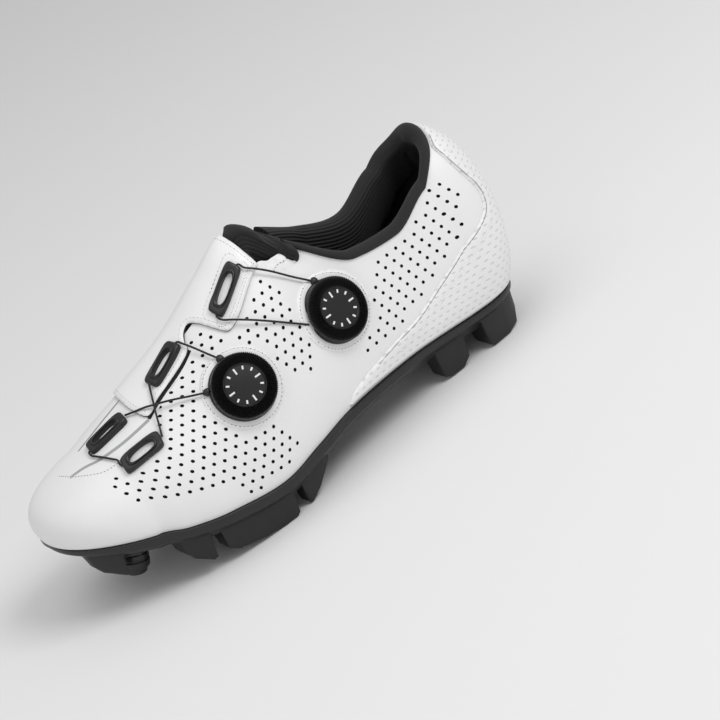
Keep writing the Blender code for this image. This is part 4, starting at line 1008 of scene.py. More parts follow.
    @staticmethod
    def _outward(face: bmesh.types.BMFace, middle: Vector) -> Vector:
        """Normal of a face on the shell, turned away from the foot."""
        n = face.normal.copy()
        heart = Vector((min(max(middle.x, 30 * MM), 225 * MM), 0.0, 45 * MM))
        return n if n.dot(middle - heart) > 0 else -n


@dataclass(frozen=True)
class DialChart:
    """Flat chart in a dial's plane, dropped on to the last along the dial's axis."""

    frame: Matrix
    ground: BVHTree

    def __call__(self, u: np.ndarray, v: np.ndarray, lift: np.ndarray) -> tuple[np.ndarray, np.ndarray]:
        """Returns the points and the normals under flat places."""
        axis = self.frame.to_3x3() @ Vector((0, 0, 1))
        points, normals = [], []
        for a, b, c in zip(u, v, lift):
            start = self.frame @ Vector((a, b, 0.02))
            hit, normal = self.ground.ray_cast(start, -axis, 0.032)[:2]
            if hit is None:
                hit, normal = self.ground.find_nearest(start - axis * 0.02)[:2]
            points.append(hit + normal * float(c))
            normals.append(normal)
        return np.array(points), np.array(normals)


@dataclass
class Overlays:
    """Leather pieces that lie on the upper, with their stitching, and grey bands of painted shade along the pressed
    lines.
    """

    ground: BVHTree
    flap_thick: float = 1.6 * MM
    flap_base: float = 0.2 * MM
    counter_thick: float = 1.3 * MM
    ring_radius: float = 19.7 * MM
    ring_thick: float = 0.8 * MM
    stitch_in: float = 2.1 * MM

    def build(self) -> None:
        """Makes every piece."""
        self.stitches = Stitching("stitching")
        self._flap()
        self._counter()
        self._dial_rings()
        self._lines()
        self.stitches.publish()

    def _flap(self) -> None:
        """Lays the instep flap and its stitch line."""
        outline = curve_through(millimetres(FLAP_EDGE), 1.1 * MM, True)
        sheet = Overlay(outline, LAST.on_ridge, self.flap_thick, self.flap_base, cell=1.5 * MM, wall=0.95 * MM)
        # The flap's side faces get the edge paint darkened as painted shade under the flap's edge.
        publish("instep_flap_sheet", sheet.mesh(), (WHITE_FLAP, EDGE_PAINT_AND_SHADE), ("instep_flap",), 60.0)
        inner = shifted(np.concatenate([outline, outline[:2]]), self._inward(outline) * self.stitch_in)
        self._sew(LAST.on_ridge, inner, self.flap_base + self.flap_thick)
        for guide in GUIDES:
            if guide.on_flap and guide.name == "flap_rear":
                flat = guide.flat_ring(guide.length / 2 + 3.2 * MM, guide.width / 2 + 2.6 * MM, 7.0, 72)
                self._sew(LAST.on_ridge, np.concatenate([flat, flat[:2]]), self.flap_base + self.flap_thick)

    @staticmethod
    def _inward(outline: np.ndarray) -> float:
        """Sign of the sideways move that leads inside an outline."""
        x, y = outline.T
        return 1.0 if np.sum(x * np.roll(y, -1) - y * np.roll(x, -1)) > 0 else -1.0

    def _sew(self, chart: Chart, line: np.ndarray, lift: float, pitch: float = 2.1 * MM) -> None:
        """Adds a row of stitches along a flat line."""
        points, normals = on_chart(chart, line, lift)
        self.stitches.row(points, normals, pitch)

    def _counter(self) -> None:
        """Lays the heel counter, with a double raised line, two grey bands of painted groove shade and rows of needle
        dots along its edge.
        """
        top = [(s, LAST.rim_height(s) - 1.3 * MM) for s in (0.0, 7 * MM, 14 * MM, 20 * MM)]
        half = curve_through(top + millimetres(COUNTER_EDGE), 1.1 * MM)
        outline = np.concatenate([half, self._foot(half[-1]), (half * (-1, 1))[::-1][:-1]])

        def relief(s: np.ndarray, h: np.ndarray, depth: np.ndarray) -> np.ndarray:
            """Two raised lines inside the edge, away from the seat."""
            off = np.where((h > 6 * MM) & (h < 82 * MM), 1.0, 0.0)
            lines = [np.exp(-((depth - at) / (0.7 * MM)) ** 2) for at in (3.4 * MM, 7.0 * MM)]
            return off * 0.16 * MM * (lines[0] + lines[1])

        sheet = Overlay(outline, LAST.on_seat, self.counter_thick, 0.2 * MM, cell=1.3 * MM,
                        rings=(0.15 * MM, 0.25 * MM, 0.4 * MM, 0.7 * MM, 0.9 * MM, 0.6 * MM, 0.5 * MM, 0.6 * MM,
                               1.4 * MM, 0.9 * MM, 0.6 * MM, 0.6 * MM), relief=relief)
        publish("heel_counter_sheet", sheet.mesh(), (WHITE_COUNTER,), ("heel_counter",), 60.0)
        # Painted shade: two grey bands inside the counter's edge stand for the shade in its pressed grooves.
        for sign in (1, -1):
            for inside in (0.9 * MM, 2.3 * MM):
                line = shifted(half, -inside)
                line = line[(line[:, 1] > 9 * MM) & (line[:, 0] > 14 * MM)] / MM * (sign, 1)
                self._band("counter_line_shade_%s_%d" % ("outer" if sign > 0 else "inner", round(10 * inside / MM)), line,
                           0.45 * MM, 0.08 * MM, GROOVE_SHADE_GREY, self.counter_thick + 0.16 * MM, LAST.on_seat)
        for inside in (4.6 * MM, 5.8 * MM):
            for sign in (1, -1):
                line = shifted(half, -inside) * (sign, 1)
                line = line[(line[:, 1] > 7 * MM) & (line[:, 1] < 80 * MM)]
                self._sew(LAST.on_seat, line, 0.2 * MM + self.counter_thick)

    @staticmethod
    def _foot(end: np.ndarray) -> np.ndarray:
        """Lower edge of the counter, just above the seat, from one end to the other."""
        count = int(2 * end[0] / (1.2 * MM))
        return np.stack([np.linspace(end[0], -end[0], count + 1)[1:-1], np.full(count - 1, end[1])], -1)

    def _dial_rings(self) -> None:
        """Lays the round stitched patch under each dial."""
        for name, (x, w) in DIAL_PLACES.items():
            point, normal = LAST.on_ridge(np.array(x * MM), w * MM)
            chart = DialChart(frame_on(point, normal), self.ground)
            angles = np.linspace(0, 2 * math.pi, 97)[:-1]
            circle = np.stack([np.cos(angles), np.sin(angles)], -1)
            sheet = Overlay(self.ring_radius * circle, chart, self.ring_thick, 0.05 * MM, cell=1.6 * MM)
            publish("dial_patch_" + name, sheet.mesh(), (WHITE_FLAP,), (), 60.0)
            seam = (self.ring_radius - 1.4 * MM) * circle
            self._sew(chart, np.concatenate([seam, seam[:2]]), 0.05 * MM + self.ring_thick, 1.9 * MM)

    def _band(self, name: str, points: Sequence[tuple[float, float]], width: float, thick: float, finish: Finish,
              base: float = 0.0, chart: Chart = LAST.on_ridge, aside: float = 0.0) -> np.ndarray:
        """Lays a narrow band along a line; returns the line."""
        line = curve_through(millimetres(points), 1.0 * MM)
        sheet = Overlay(ribbon(shifted(line, aside), width), chart, thick, base, cell=4 * MM,
                        edge=min(width / 2, 0.6 * MM), rings=(0.12 * MM, 0.25 * MM * min(1.0, width / MM)))
        publish(name, sheet.mesh(), (finish,), (), 60.0)
        return line

    def _lines(self) -> None:
        """Lays the slit as a dark band of painted shade, the pressed line and the heel lines as grey bands of painted
        shade, the seams and the quarter's front edge.
        """
        # Painted shade: a dark band laid on the closed surface stands for the slit, with the black gusset seen through
        # it and the shade in the gap.
        self._band("slit_gap_painted_shade", SLIT, 1.9 * MM, 0.12 * MM, DARK_LINING_AND_SHADE, 0.02 * MM)
        self._band("slit_lip", SLIT, 1.1 * MM, 0.5 * MM, WHITE_UPPER, 0.0, aside=1.4 * MM)
        # Painted shade: a grey band stands for the shade in the pressed groove.
        self._band("pressed_line_shade_outer", PRESSED_LINE, 1.7 * MM, 0.10 * MM, GROOVE_SHADE_GREY, 0.02 * MM)
        self._band("vamp_seam", VAMP_SEAM, 0.9 * MM, 0.35 * MM, WHITE_UPPER)
        line = self._band("quarter_edge", QUARTER_EDGE, 4.6 * MM, 0.7 * MM, WHITE_FLAP, aside=2.4 * MM)
        self._sew(LAST.on_ridge, shifted(line, 2.4 * MM), 0.7 * MM)
        self._sew(LAST.on_ridge, curve_through(millimetres(TOE_STITCH), 1 * MM), 0.03 * MM, 1.7 * MM)
        # Painted shadow: grey bands stand for the shadow that the heel piece's raised edge casts on the quarter.
        for sign in (1, -1):
            points = [(sign * s, h) for s, h in HEEL_LINE]
            self._band("heel_line_shadow_%s" % ("outer" if sign > 0 else "inner"), points, 0.8 * MM, 0.15 * MM,
                       GROOVE_SHADE_GREY, self.counter_thick + 0.12 * MM, LAST.on_seat)


@dataclass
class Collar:
    """Padded collar: a matte binding rolled over the rim, and a ribbed lining below it."""

    wall: float = 2.2 * MM
    fit: float = 0.6 * MM
    depth: float = 27.0 * MM
    thick: float = 6.2 * MM
    roll: float = 4.6 * MM
    rib_pitch: float = 1.9 * MM
    rib_height: float = 0.65 * MM
    end: float = 0.390 * 268.0 * MM
    fold_place: float = 0.42
    fold_depth: float = 1.3 * MM

    def _profile(self) -> np.ndarray:
        """Closed profile: w down from the rim, and depth off the last."""
        inside, r = self.wall + self.fit, self.roll
        table = ((0.10 * r, 0.7 * MM), (-0.35 * r, 1.5 * MM), (-0.85 * r, 0.4 * MM), (-1.02 * r, -2.2 * MM),
                 (-0.90 * r, -4.8 * MM), (-0.35 * r, -inside - 0.80 * self.thick),
                 (0.22 * self.depth, -inside - self.thick), (0.55 * self.depth, -inside - 0.95 * self.thick),
                 (0.80 * self.depth, -inside - 0.72 * self.thick), (0.99 * self.depth, -inside - 0.25 * self.thick),
                 (0.86 * self.depth, -inside), (0.40 * self.depth, -inside), (0.06 * self.depth, -inside - 0.0001),
                 (0.0, -1.2 * MM))
        return curve_through(table, 0.32 * MM, True)

    def build(self) -> bpy.types.Object:
        """Returns the collar."""
        profile = self._profile()
        last_q = float(LAST.station(self.end - 1.2 * MM))
        half = np.concatenate([np.linspace(0, 1, 50), np.linspace(1, last_q, 80)[1:]])
        side = np.concatenate([np.full(len(half), OUTER), np.full(len(half) - 1, INNER)])[:, None]
        q = np.concatenate([half[::-1], half[1:]])[:, None]
        w = np.append(profile[:, 0], profile[0, 0])[None, :]
        lift = np.append(profile[:, 1], profile[0, 1])[None, :]
        arc = np.concatenate([[0], np.cumsum(np.linalg.norm(np.diff(profile, axis=0), axis=1))])
        arc = np.append(arc, arc[-1])[None, :]
        lining = ease((w - 3.0 * MM) / (3 * MM)) * (lift < -self.wall - self.fit - 1.2 * MM)
        upper_side = ease((-1.4 * MM - lift) / (1.5 * MM)) * ease((26 * MM - w) / (3 * MM)) * (side < 0)
        ribbed = np.maximum(lining, upper_side) * ease((q - 0.75) / 0.5)
        wave = 0.5 - 0.5 * np.cos(2 * math.pi * arc / self.rib_pitch)
        fold = lining * np.exp(-((q - self.fold_place) / 0.045) ** 2) * self.fold_depth
        lift = lift - ribbed * self.rib_height * wave + fold
        w = np.broadcast_to(w, lift.shape)
        side, q = np.broadcast_to(side, lift.shape), np.broadcast_to(q, lift.shape)
        below, _ = LAST.skin(side, q, LAST.share(side, q, np.maximum(w, 0), True), lift)
        rim, normal = LAST.skin(side, q, np.ones(q.shape), 0.0)
        rise = rim - LAST.rib(side, q, 0.97)
        rise /= np.linalg.norm(rise, axis=-1, keepdims=True)
        above = rim + normal * lift[..., None] - rise * w[..., None]
        points = np.where((w > 0)[..., None], below, above)
        bm = Grid(points.shape[0] - 1, points.shape[1] - 1).place(points)
        bmesh.ops.holes_fill(bm, edges=bm.edges, sides=points.shape[1] + 4)
        for f in bm.faces:
            f.material_index = 0
        collar = publish("padded_collar", bm, (BLACK_BINDING,), ("collar_pad",), 75.0)
        return collar


@dataclass
class Tongue:
    """Ribbed knit gusset under the flap, with a rolled rear edge that bridges the two rims."""

    upper: Upper
    rear: float = 100.5 * MM
    rear_edge: tuple[tuple[float, float], ...] = ((-24, 103), (-14, 101), (-4, 100.5), (4, 101.5), (10, 104), (16, 109),
                                                  (22, 114), (29, 118))
    bulge: float = 5.4 * MM
    front: float = 199.0 * MM
    outer_reach: float = 29.0 * MM
    inner_reach: float = 20.0 * MM
    under: float = -3.2 * MM
    shown: float = -0.5 * MM
    thick: float = 2.2 * MM
    cuff_length: float = 5.0 * MM
    cuff_thick: float = 4.6 * MM
    bridge: float = 6.0 * MM
    rib_pitch: float = 2.0 * MM
    rib_height: float = 0.6 * MM
    rib_slope: float = -0.10
    rows: int = 170

    def build(self) -> bpy.types.Object:
        """Returns the gusset."""
        xs = np.concatenate([self.rear + self.cuff_length * np.linspace(0, 1, 14),
                             np.linspace(self.rear + self.cuff_length, 135 * MM, 30)[1:],
                             np.linspace(135 * MM, self.front, 18)[1:]])[:, None]
        ws = np.linspace(-self.inner_reach, self.outer_reach, self.rows + 1)[None, :]
        x, w = np.broadcast_arrays(xs, ws)
        table = np.array(self.rear_edge) * MM
        rear = smooth_through(table[:, 0], table[:, 1], w)
        share = (xs - self.rear) / (self.front - self.rear)
        x = rear + share * (self.front - rear)
        opening = ease((self.upper.cut(x, np.sign(w)) - np.abs(w)) / (3 * MM) + 0.2)
        crown = ease((w + 10.5 * MM) / (5 * MM)) * ease((15 * MM - w) / (14 * MM)) * ease((124 * MM - x) / (5 * MM))
        top = self.under + (self.shown - self.under) * np.maximum(opening, crown) + self.bulge * crown
        top = top - 4.5 * MM * ease((w - 12 * MM) / (6 * MM)) * ease((122 * MM - x) / (4 * MM))
        along = np.clip((x - rear) / self.cuff_length, 0, 1)
        roll = np.sqrt(np.clip(1 - (2 * along - 1) ** 2, 0, 1))
        swell = np.where(along < 0.5, roll, np.maximum(roll, 0.0))
        half = 0.5 * np.where(along < 1, np.maximum(self.cuff_thick * swell, self.thick * ease(along * 2)), self.thick)
        wave = 0.5 - 0.5 * np.cos(2 * math.pi * (w - self.rib_slope * (x - self.rear)) / self.rib_pitch)
        ribs = self.rib_height * wave * ease((along - 0.15) * 4)
        middle = top - 0.5 * self.thick
        outer = self._points(x, w, middle + half - ribs)
        inner = self._points(x, w, middle - half)
        bm = Grid(outer.shape[0] - 1, self.rows).place(outer, inner)
        tongue = publish("knit_gusset", bm, (BLACK_KNIT,), ("tongue",), 80.0)
        return tongue

    def _points(self, x: np.ndarray, w: np.ndarray, lift: np.ndarray) -> np.ndarray:
        """Points on the ridge chart, with the middle bridged by a smooth span between the two sides."""
        points, _ = LAST.on_ridge(x, w, lift)
        for i in range(len(x)):
            span = np.abs(w[i]) < self.bridge
            first, stop = int(np.argmax(span)), len(span) - int(np.argmax(span[::-1]))
            a, b = points[i, first - 1], points[i, stop]
            wide = np.linalg.norm(b - a)
            into = points[i, first - 1] - points[i, first - 3]
            away = points[i, stop + 2] - points[i, stop]
            into, away = (0.9 * wide * d / np.linalg.norm(d) for d in (into, away))
            s = (np.arange(first, stop) - first + 1)[:, None] / (stop - first + 1)
            points[i, first:stop] = ((2 * s ** 3 - 3 * s * s + 1) * a + (s ** 3 - 2 * s * s + s) * into
                                     + (3 * s * s - 2 * s ** 3) * b + (s ** 3 - s * s) * away)
        return points


# Lace hardware


@dataclass(frozen=True)
class Guide:
    """Black bar with an oval window, laid on the flap or on the upper."""

    name: str
    place: float
    down: float
    turn: float
    on_flap: bool
    length: float = 21.5 * MM
    width: float = 8.8 * MM
    height: float = 3.0 * MM
    wall: float = 2.6 * MM

    def flat_ring(self, half_l: float, half_w: float, corner: float, count: int = 64) -> np.ndarray:
        """Rounded rectangle round the bar's middle, on the ridge chart."""
        a = 2 * math.pi * (np.arange(count) + 0.5) / count
        c, s, p = np.cos(a), np.sin(a), 2.0 / corner
        u, v = half_l * np.sign(c) * np.abs(c) ** p, half_w * np.sign(s) * np.abs(s) ** p
        turn = math.radians(self.turn)
        return np.stack([self.place + u * math.cos(turn) - v * math.sin(turn),
                         self.down + u * math.sin(turn) + v * math.cos(turn)], -1)

    def ring(self, half_l: float, half_w: float, corner: float, lift: float, count: int = 64) -> np.ndarray:
        """The same, laid on the shoe at a lift."""
        return on_chart(LAST.on_ridge, self.flat_ring(half_l, half_w, corner, count), lift)[0]

    def build(self) -> bpy.types.Object:
        """Returns the bar."""
        ground = (1.8 if self.on_flap else 0.1) * MM
        l, w, h = self.length / 2, self.width / 2, self.height
        hl, hw = l - 1.5 * self.wall, w - 0.80 * self.wall
        table = ((l, w, 6.0, 0.0), (l, w, 6.0, 0.60), (l - 0.25 * MM, w - 0.25 * MM, 5.5, 0.82),
                 (l - 0.8 * MM, w - 0.7 * MM, 5.0, 0.95), (l - 1.5 * MM, w - 1.1 * MM, 4.5, 0.93),
                 (hl + 1.5 * MM, hw + 0.75 * MM, 3.4, 0.86), (hl + 1.0 * MM, hw + 0.6 * MM, 3.2, 1.06),
                 (hl + 0.6 * MM, hw + 0.35 * MM, 3.0, 1.10), (hl + 0.2 * MM, hw + 0.1 * MM, 2.8, 1.02),
                 (hl, hw, 2.6, 0.80), (hl, hw, 2.6, 0.0))
        bm = bmesh.new()
        loops = []
        for half_l, half_w, corner, share in table:
            points = self.ring(half_l, half_w, corner, ground + share * h)
            made = bmesh.ops.create_circle(bm, segments=len(points), radius=1.0)["verts"]
            for v, p in zip(made, points):
                v.co = p
            loops.append(list({e for v in made for e in v.link_edges}))
        for first, second in zip(loops, loops[1:] + loops[:1]):
            bmesh.ops.bridge_loops(bm, edges=first + second)
        return publish("lace_guide_" + self.name, bm, (GUIDE_BLACK,), ("guide_" + self.name,), 35.0)


GUIDES = (Guide("flap_rear", 141.0 * MM, 18.2 * MM, 13.0, True), Guide("flap_front", 181.7 * MM, 12.9 * MM, 12.0, True),
          Guide("toe_inner", 220.6 * MM, 10.9 * MM, -12.0, False),
          Guide("toe_outer", 217.3 * MM, 34.3 * MM, -14.0, False))


@dataclass
class Turned:
    """Rings about Z, each with its own radius and height, and with every second point set back."""

    count: int
    rings: tuple[tuple[float, float, float, float], ...]

    def mesh(self) -> bmesh.types.BMesh:
        """Returns the closed solid from rings of radius, height, notch inwards and notch down, in mm."""
        bm = bmesh.new()
        loops = []
        for radius, z, notch, drop in self.rings:
            made = bmesh.ops.create_circle(bm, segments=self.count, radius=radius * MM)["verts"]
            for k, v in enumerate(made):
                if k % 2:
                    v.co *= 1 - notch / radius
                v.co.z = (z - drop * (k % 2)) * MM
            loops.append(list({e for v in made for e in v.link_edges}))
        for first, second in zip(loops, loops[1:]):
            bmesh.ops.bridge_loops(bm, edges=first + second)
        for loop in (loops[0], loops[-1]):
            bmesh.ops.contextual_create(bm, geom=loop)
        return bm


@dataclass
class Dial:
    """Round lace dial: a base that follows the upper and a knurled knob with plain ticks."""

    name: str
    ground: BVHTree
    exits: tuple[float, ...]
    base_radius: float = 16.1 * MM
    base_height: float = 1.8 * MM
    ticks: int = 12

    def __post_init__(self) -> None:
        """Finds where the dial stands."""
        x, w = DIAL_PLACES[self.name]
        point, normal = LAST.on_ridge(np.array(x * MM), w * MM)
        self.normal = Vector(normal)
        self.frame = frame_on(point, normal)

    def build(self) -> None:
        """Makes the base, the knob and its ticks."""
        self._base()
        self._knob()

    def _base(self) -> None:
        """Makes the base with a nub at each place where a lace leaves."""
        bm = Turned(96, ((16.1, 0.0, 0, 0), (16.1, 0.9, 0, 0), (15.9, 1.45, 0, 0), (15.5, 1.75, 0, 0),
                         (14.0, 1.8, 0, 0))).mesh()
        bmesh.ops.transform(bm, matrix=self.frame, verts=bm.verts)
        centre = self.frame.translation
        for v in bm.verts:
            if (v.co - centre).dot(self.normal) < 0.1 * MM:
                hit = self.ground.ray_cast(v.co + self.normal * 0.02, -self.normal, 0.04)[0]
                v.co = (hit if hit is not None else v.co) + self.normal * 0.2 * MM
        for clock in self.exits:
            nub = frame_on(self.exit(clock) - self.normal * 0.3 * MM, self.normal, self.exit(clock) - centre)
            size = Matrix.Diagonal((2.3 * MM, 2.0 * MM, 1.5 * MM, 1.0))
            bmesh.ops.create_uvsphere(bm, u_segments=20, v_segments=12, radius=1.0, matrix=nub @ size)
        publish("dial_plate_" + self.name, bm, (BASE_BLACK,), ("dial_base_" + self.name,), 35.0)

    def _knob(self) -> None:
        """Makes the knob and the ticks on its recessed middle."""
        rings = ((14.6, 2.1, 0, 0), (15.2, 2.4, 0, 0), (15.8, 3.1, 0.42, 0), (15.85, 4.4, 0.42, 0),
                 (15.7, 5.2, 0.5, 0.0), (15.3, 5.8, 0.4, 0.4), (14.4, 6.2, 0.1, 0.8), (12.6, 6.55, 0.0, 0.85),
                 (10.6, 6.8, 0.0, 0.8), (10.1, 6.85, 0, 0.1), (9.8, 6.8, 0, 0), (9.55, 6.3, 0, 0), (9.3, 6.1, 0, 0),
                 (7.0, 6.25, 0, 0), (4.0, 6.35, 0, 0), (1.5, 6.38, 0, 0))
        bm = Turned(200, rings).mesh()
        bmesh.ops.transform(bm, matrix=self.frame, verts=bm.verts)
        publish("dial_knob_top_" + self.name, bm, (DIAL_BLACK,), ("dial_knob_" + self.name,), 25.0)
        bm = bmesh.new()
        for k in range(self.ticks):
            long = k % 3 == 0
            length = (3.0 if long else 1.7) * MM
            place = Matrix.Rotation(2 * math.pi * k / self.ticks, 4, "Z") @ Matrix.Translation(
                (8.9 * MM - length / 2, 0, 6.3 * MM))
            size = Matrix.Diagonal((length, 0.85 * MM, 0.5 * MM, 1.0))
            made = bmesh.ops.create_cube(bm, size=1.0, matrix=self.frame @ place @ size)
            edges = list({e for v in made["verts"] for e in v.link_edges})
            bmesh.ops.bevel(bm, geom=edges, offset=0.08 * MM, segments=1, profile=0.5, affect="EDGES", material=-1)
        publish("dial_ticks_" + self.name, bm, (DIAL_MARK,), (), 35.0)

    def exit(self, clock: float) -> Vector:
        """Point just outside the base, clock in degrees from the toe, turning down the side."""
        a = math.radians(clock)
        toe, side = self.frame.to_3x3() @ Vector((1, 0, 0)), self.frame.to_3x3() @ Vector((0, 1, 0))
        if side.z > 0:
            side = -side
        out = (toe * math.cos(a) + side * math.sin(a)) * (self.base_radius + 0.4 * MM)
        return self.frame.translation + out + self.normal * 0.8 * MM


@dataclass
class Laces:
    """Thin coated wires from the dials to the guides."""

    ground: BVHTree
    dials: dict[str, Dial]
    radius: float = 0.5 * MM
    clear: float = 0.6 * MM
    step: float = 2.4 * MM
    crossing: tuple[float, float] = (198.6 * MM, 24.6 * MM)

    def build(self) -> None:
        """Makes the wires on their routes."""
        rear, front = self.dials["rear"], self.dials["front"]
        for name, index, end, dial, clock in (("rear_upper", 0, -1, rear, -90.0), ("rear_lower", 0, 1, rear, -7.0),
                                              ("front_upper", 1, -1, front, -88.0)):
            run = self._route(self._mouth(index, end, 1), dial.exit(clock), (self.step, 0.0))
            self._wire("wire_" + name, "lace_" + name, [self._turn(index, end, 1) + run])
        over = Vector(LAST.on_ridge(*self.crossing, self.step + self.clear)[0])
        above = over + Vector(LAST.on_ridge(*self.crossing)[1]) * 0.6 * MM
        first = self._route(self._mouth(1, 1), over, (self.step, self.step))
        first += self._route(over, self._mouth(3, -1), (self.step, 0.0))[1:]
        second = self._route(self._mouth(2, -1), above, (0.0, self.step), 0.2)
        second += self._route(above, front.exit(-28.0), (self.step, 0.0))[1:]
        self._wire("wire_cross", "lace_cross", [first, second])
        run = self._route(self._mouth(3, 1, -1), self._mouth(2, 1, 1), (0.0, 0.0))
        self._wire("wire_front_lower", "lace_front_lower", [self._turn(3, 1, -1) + run + self._turn(2, 1, 1)[::-1]])

    def _mouth(self, index: int, end: int, aside: int = 0) -> Vector:
        """Point just past one end of a guide, or past its corner where aside is 1 or -1."""
        guide = GUIDES[index]
        along = end * (guide.length / 2 + 0.6 * MM)
        over = aside * (guide.width / 2 + 0.3 * MM)
        a = math.radians(guide.turn)
        x = guide.place + along * math.cos(a) - over * math.sin(a)
        w = guide.down + along * math.sin(a) + over * math.cos(a)
        return Vector(LAST.on_ridge(x, w, (2.0 * MM if guide.on_flap else 0.0) + 1.2 * MM)[0])

    def _turn(self, index: int, end: int, aside: int) -> list[Vector]:
        """Points from inside a guide's end round to its corner."""
        guide = GUIDES[index]
        a = math.radians(guide.turn)
        along = end * (guide.length / 2 - 2.0 * MM)
        x, w = guide.place + along * math.cos(a), guide.down + along * math.sin(a)
        inside = Vector(LAST.on_ridge(x, w, (2.0 * MM if guide.on_flap else 0.0) + 1.2 * MM)[0])
        mouth = self._mouth(index, end)
        return [inside, mouth.lerp(self._mouth(index, end, aside), 0.3)]

    def _route(self, start: Vector, stop: Vector, raised: tuple[float, float], reach: float = 0.38,
               count: int = 12) -> list[Vector]:
        """Straight run held clear of the skin; raised gives the extra height towards its two ends."""
        points = []
        for i in range(count):
            share = i / (count - 1)
            p = start.lerp(stop, share)
            near, normal, _, _ = self.ground.find_nearest(p)
            blend = float(ease((share - reach) / (1 - 2 * reach) if reach < 0.5 else share))
            lift = self.radius + self.clear + raised[0] * (1 - blend) + raised[1] * blend
            off = (p - near).dot(normal)
            points.append(p if off > lift else p + normal * (lift - off))
        for _ in range(6):
            inner = [(a + b * 2 + c) / 4 for a, b, c in zip(points, points[1:], points[2:])]
            points = [points[0], *inner, points[-1]]
        return points

    def _wire(self, name: str, node: str, lines: Sequence[Sequence[Vector]]) -> None:
        """Makes the wires of one lace."""
        bm = bmesh.new()
        for line in lines:
            tube(bm, curve_through([tuple(p) for p in line], 1.2 * MM), self.radius, 12)
        publish(name, bm, (WIRE_DARK,), (node,), 50.0)


# Sole


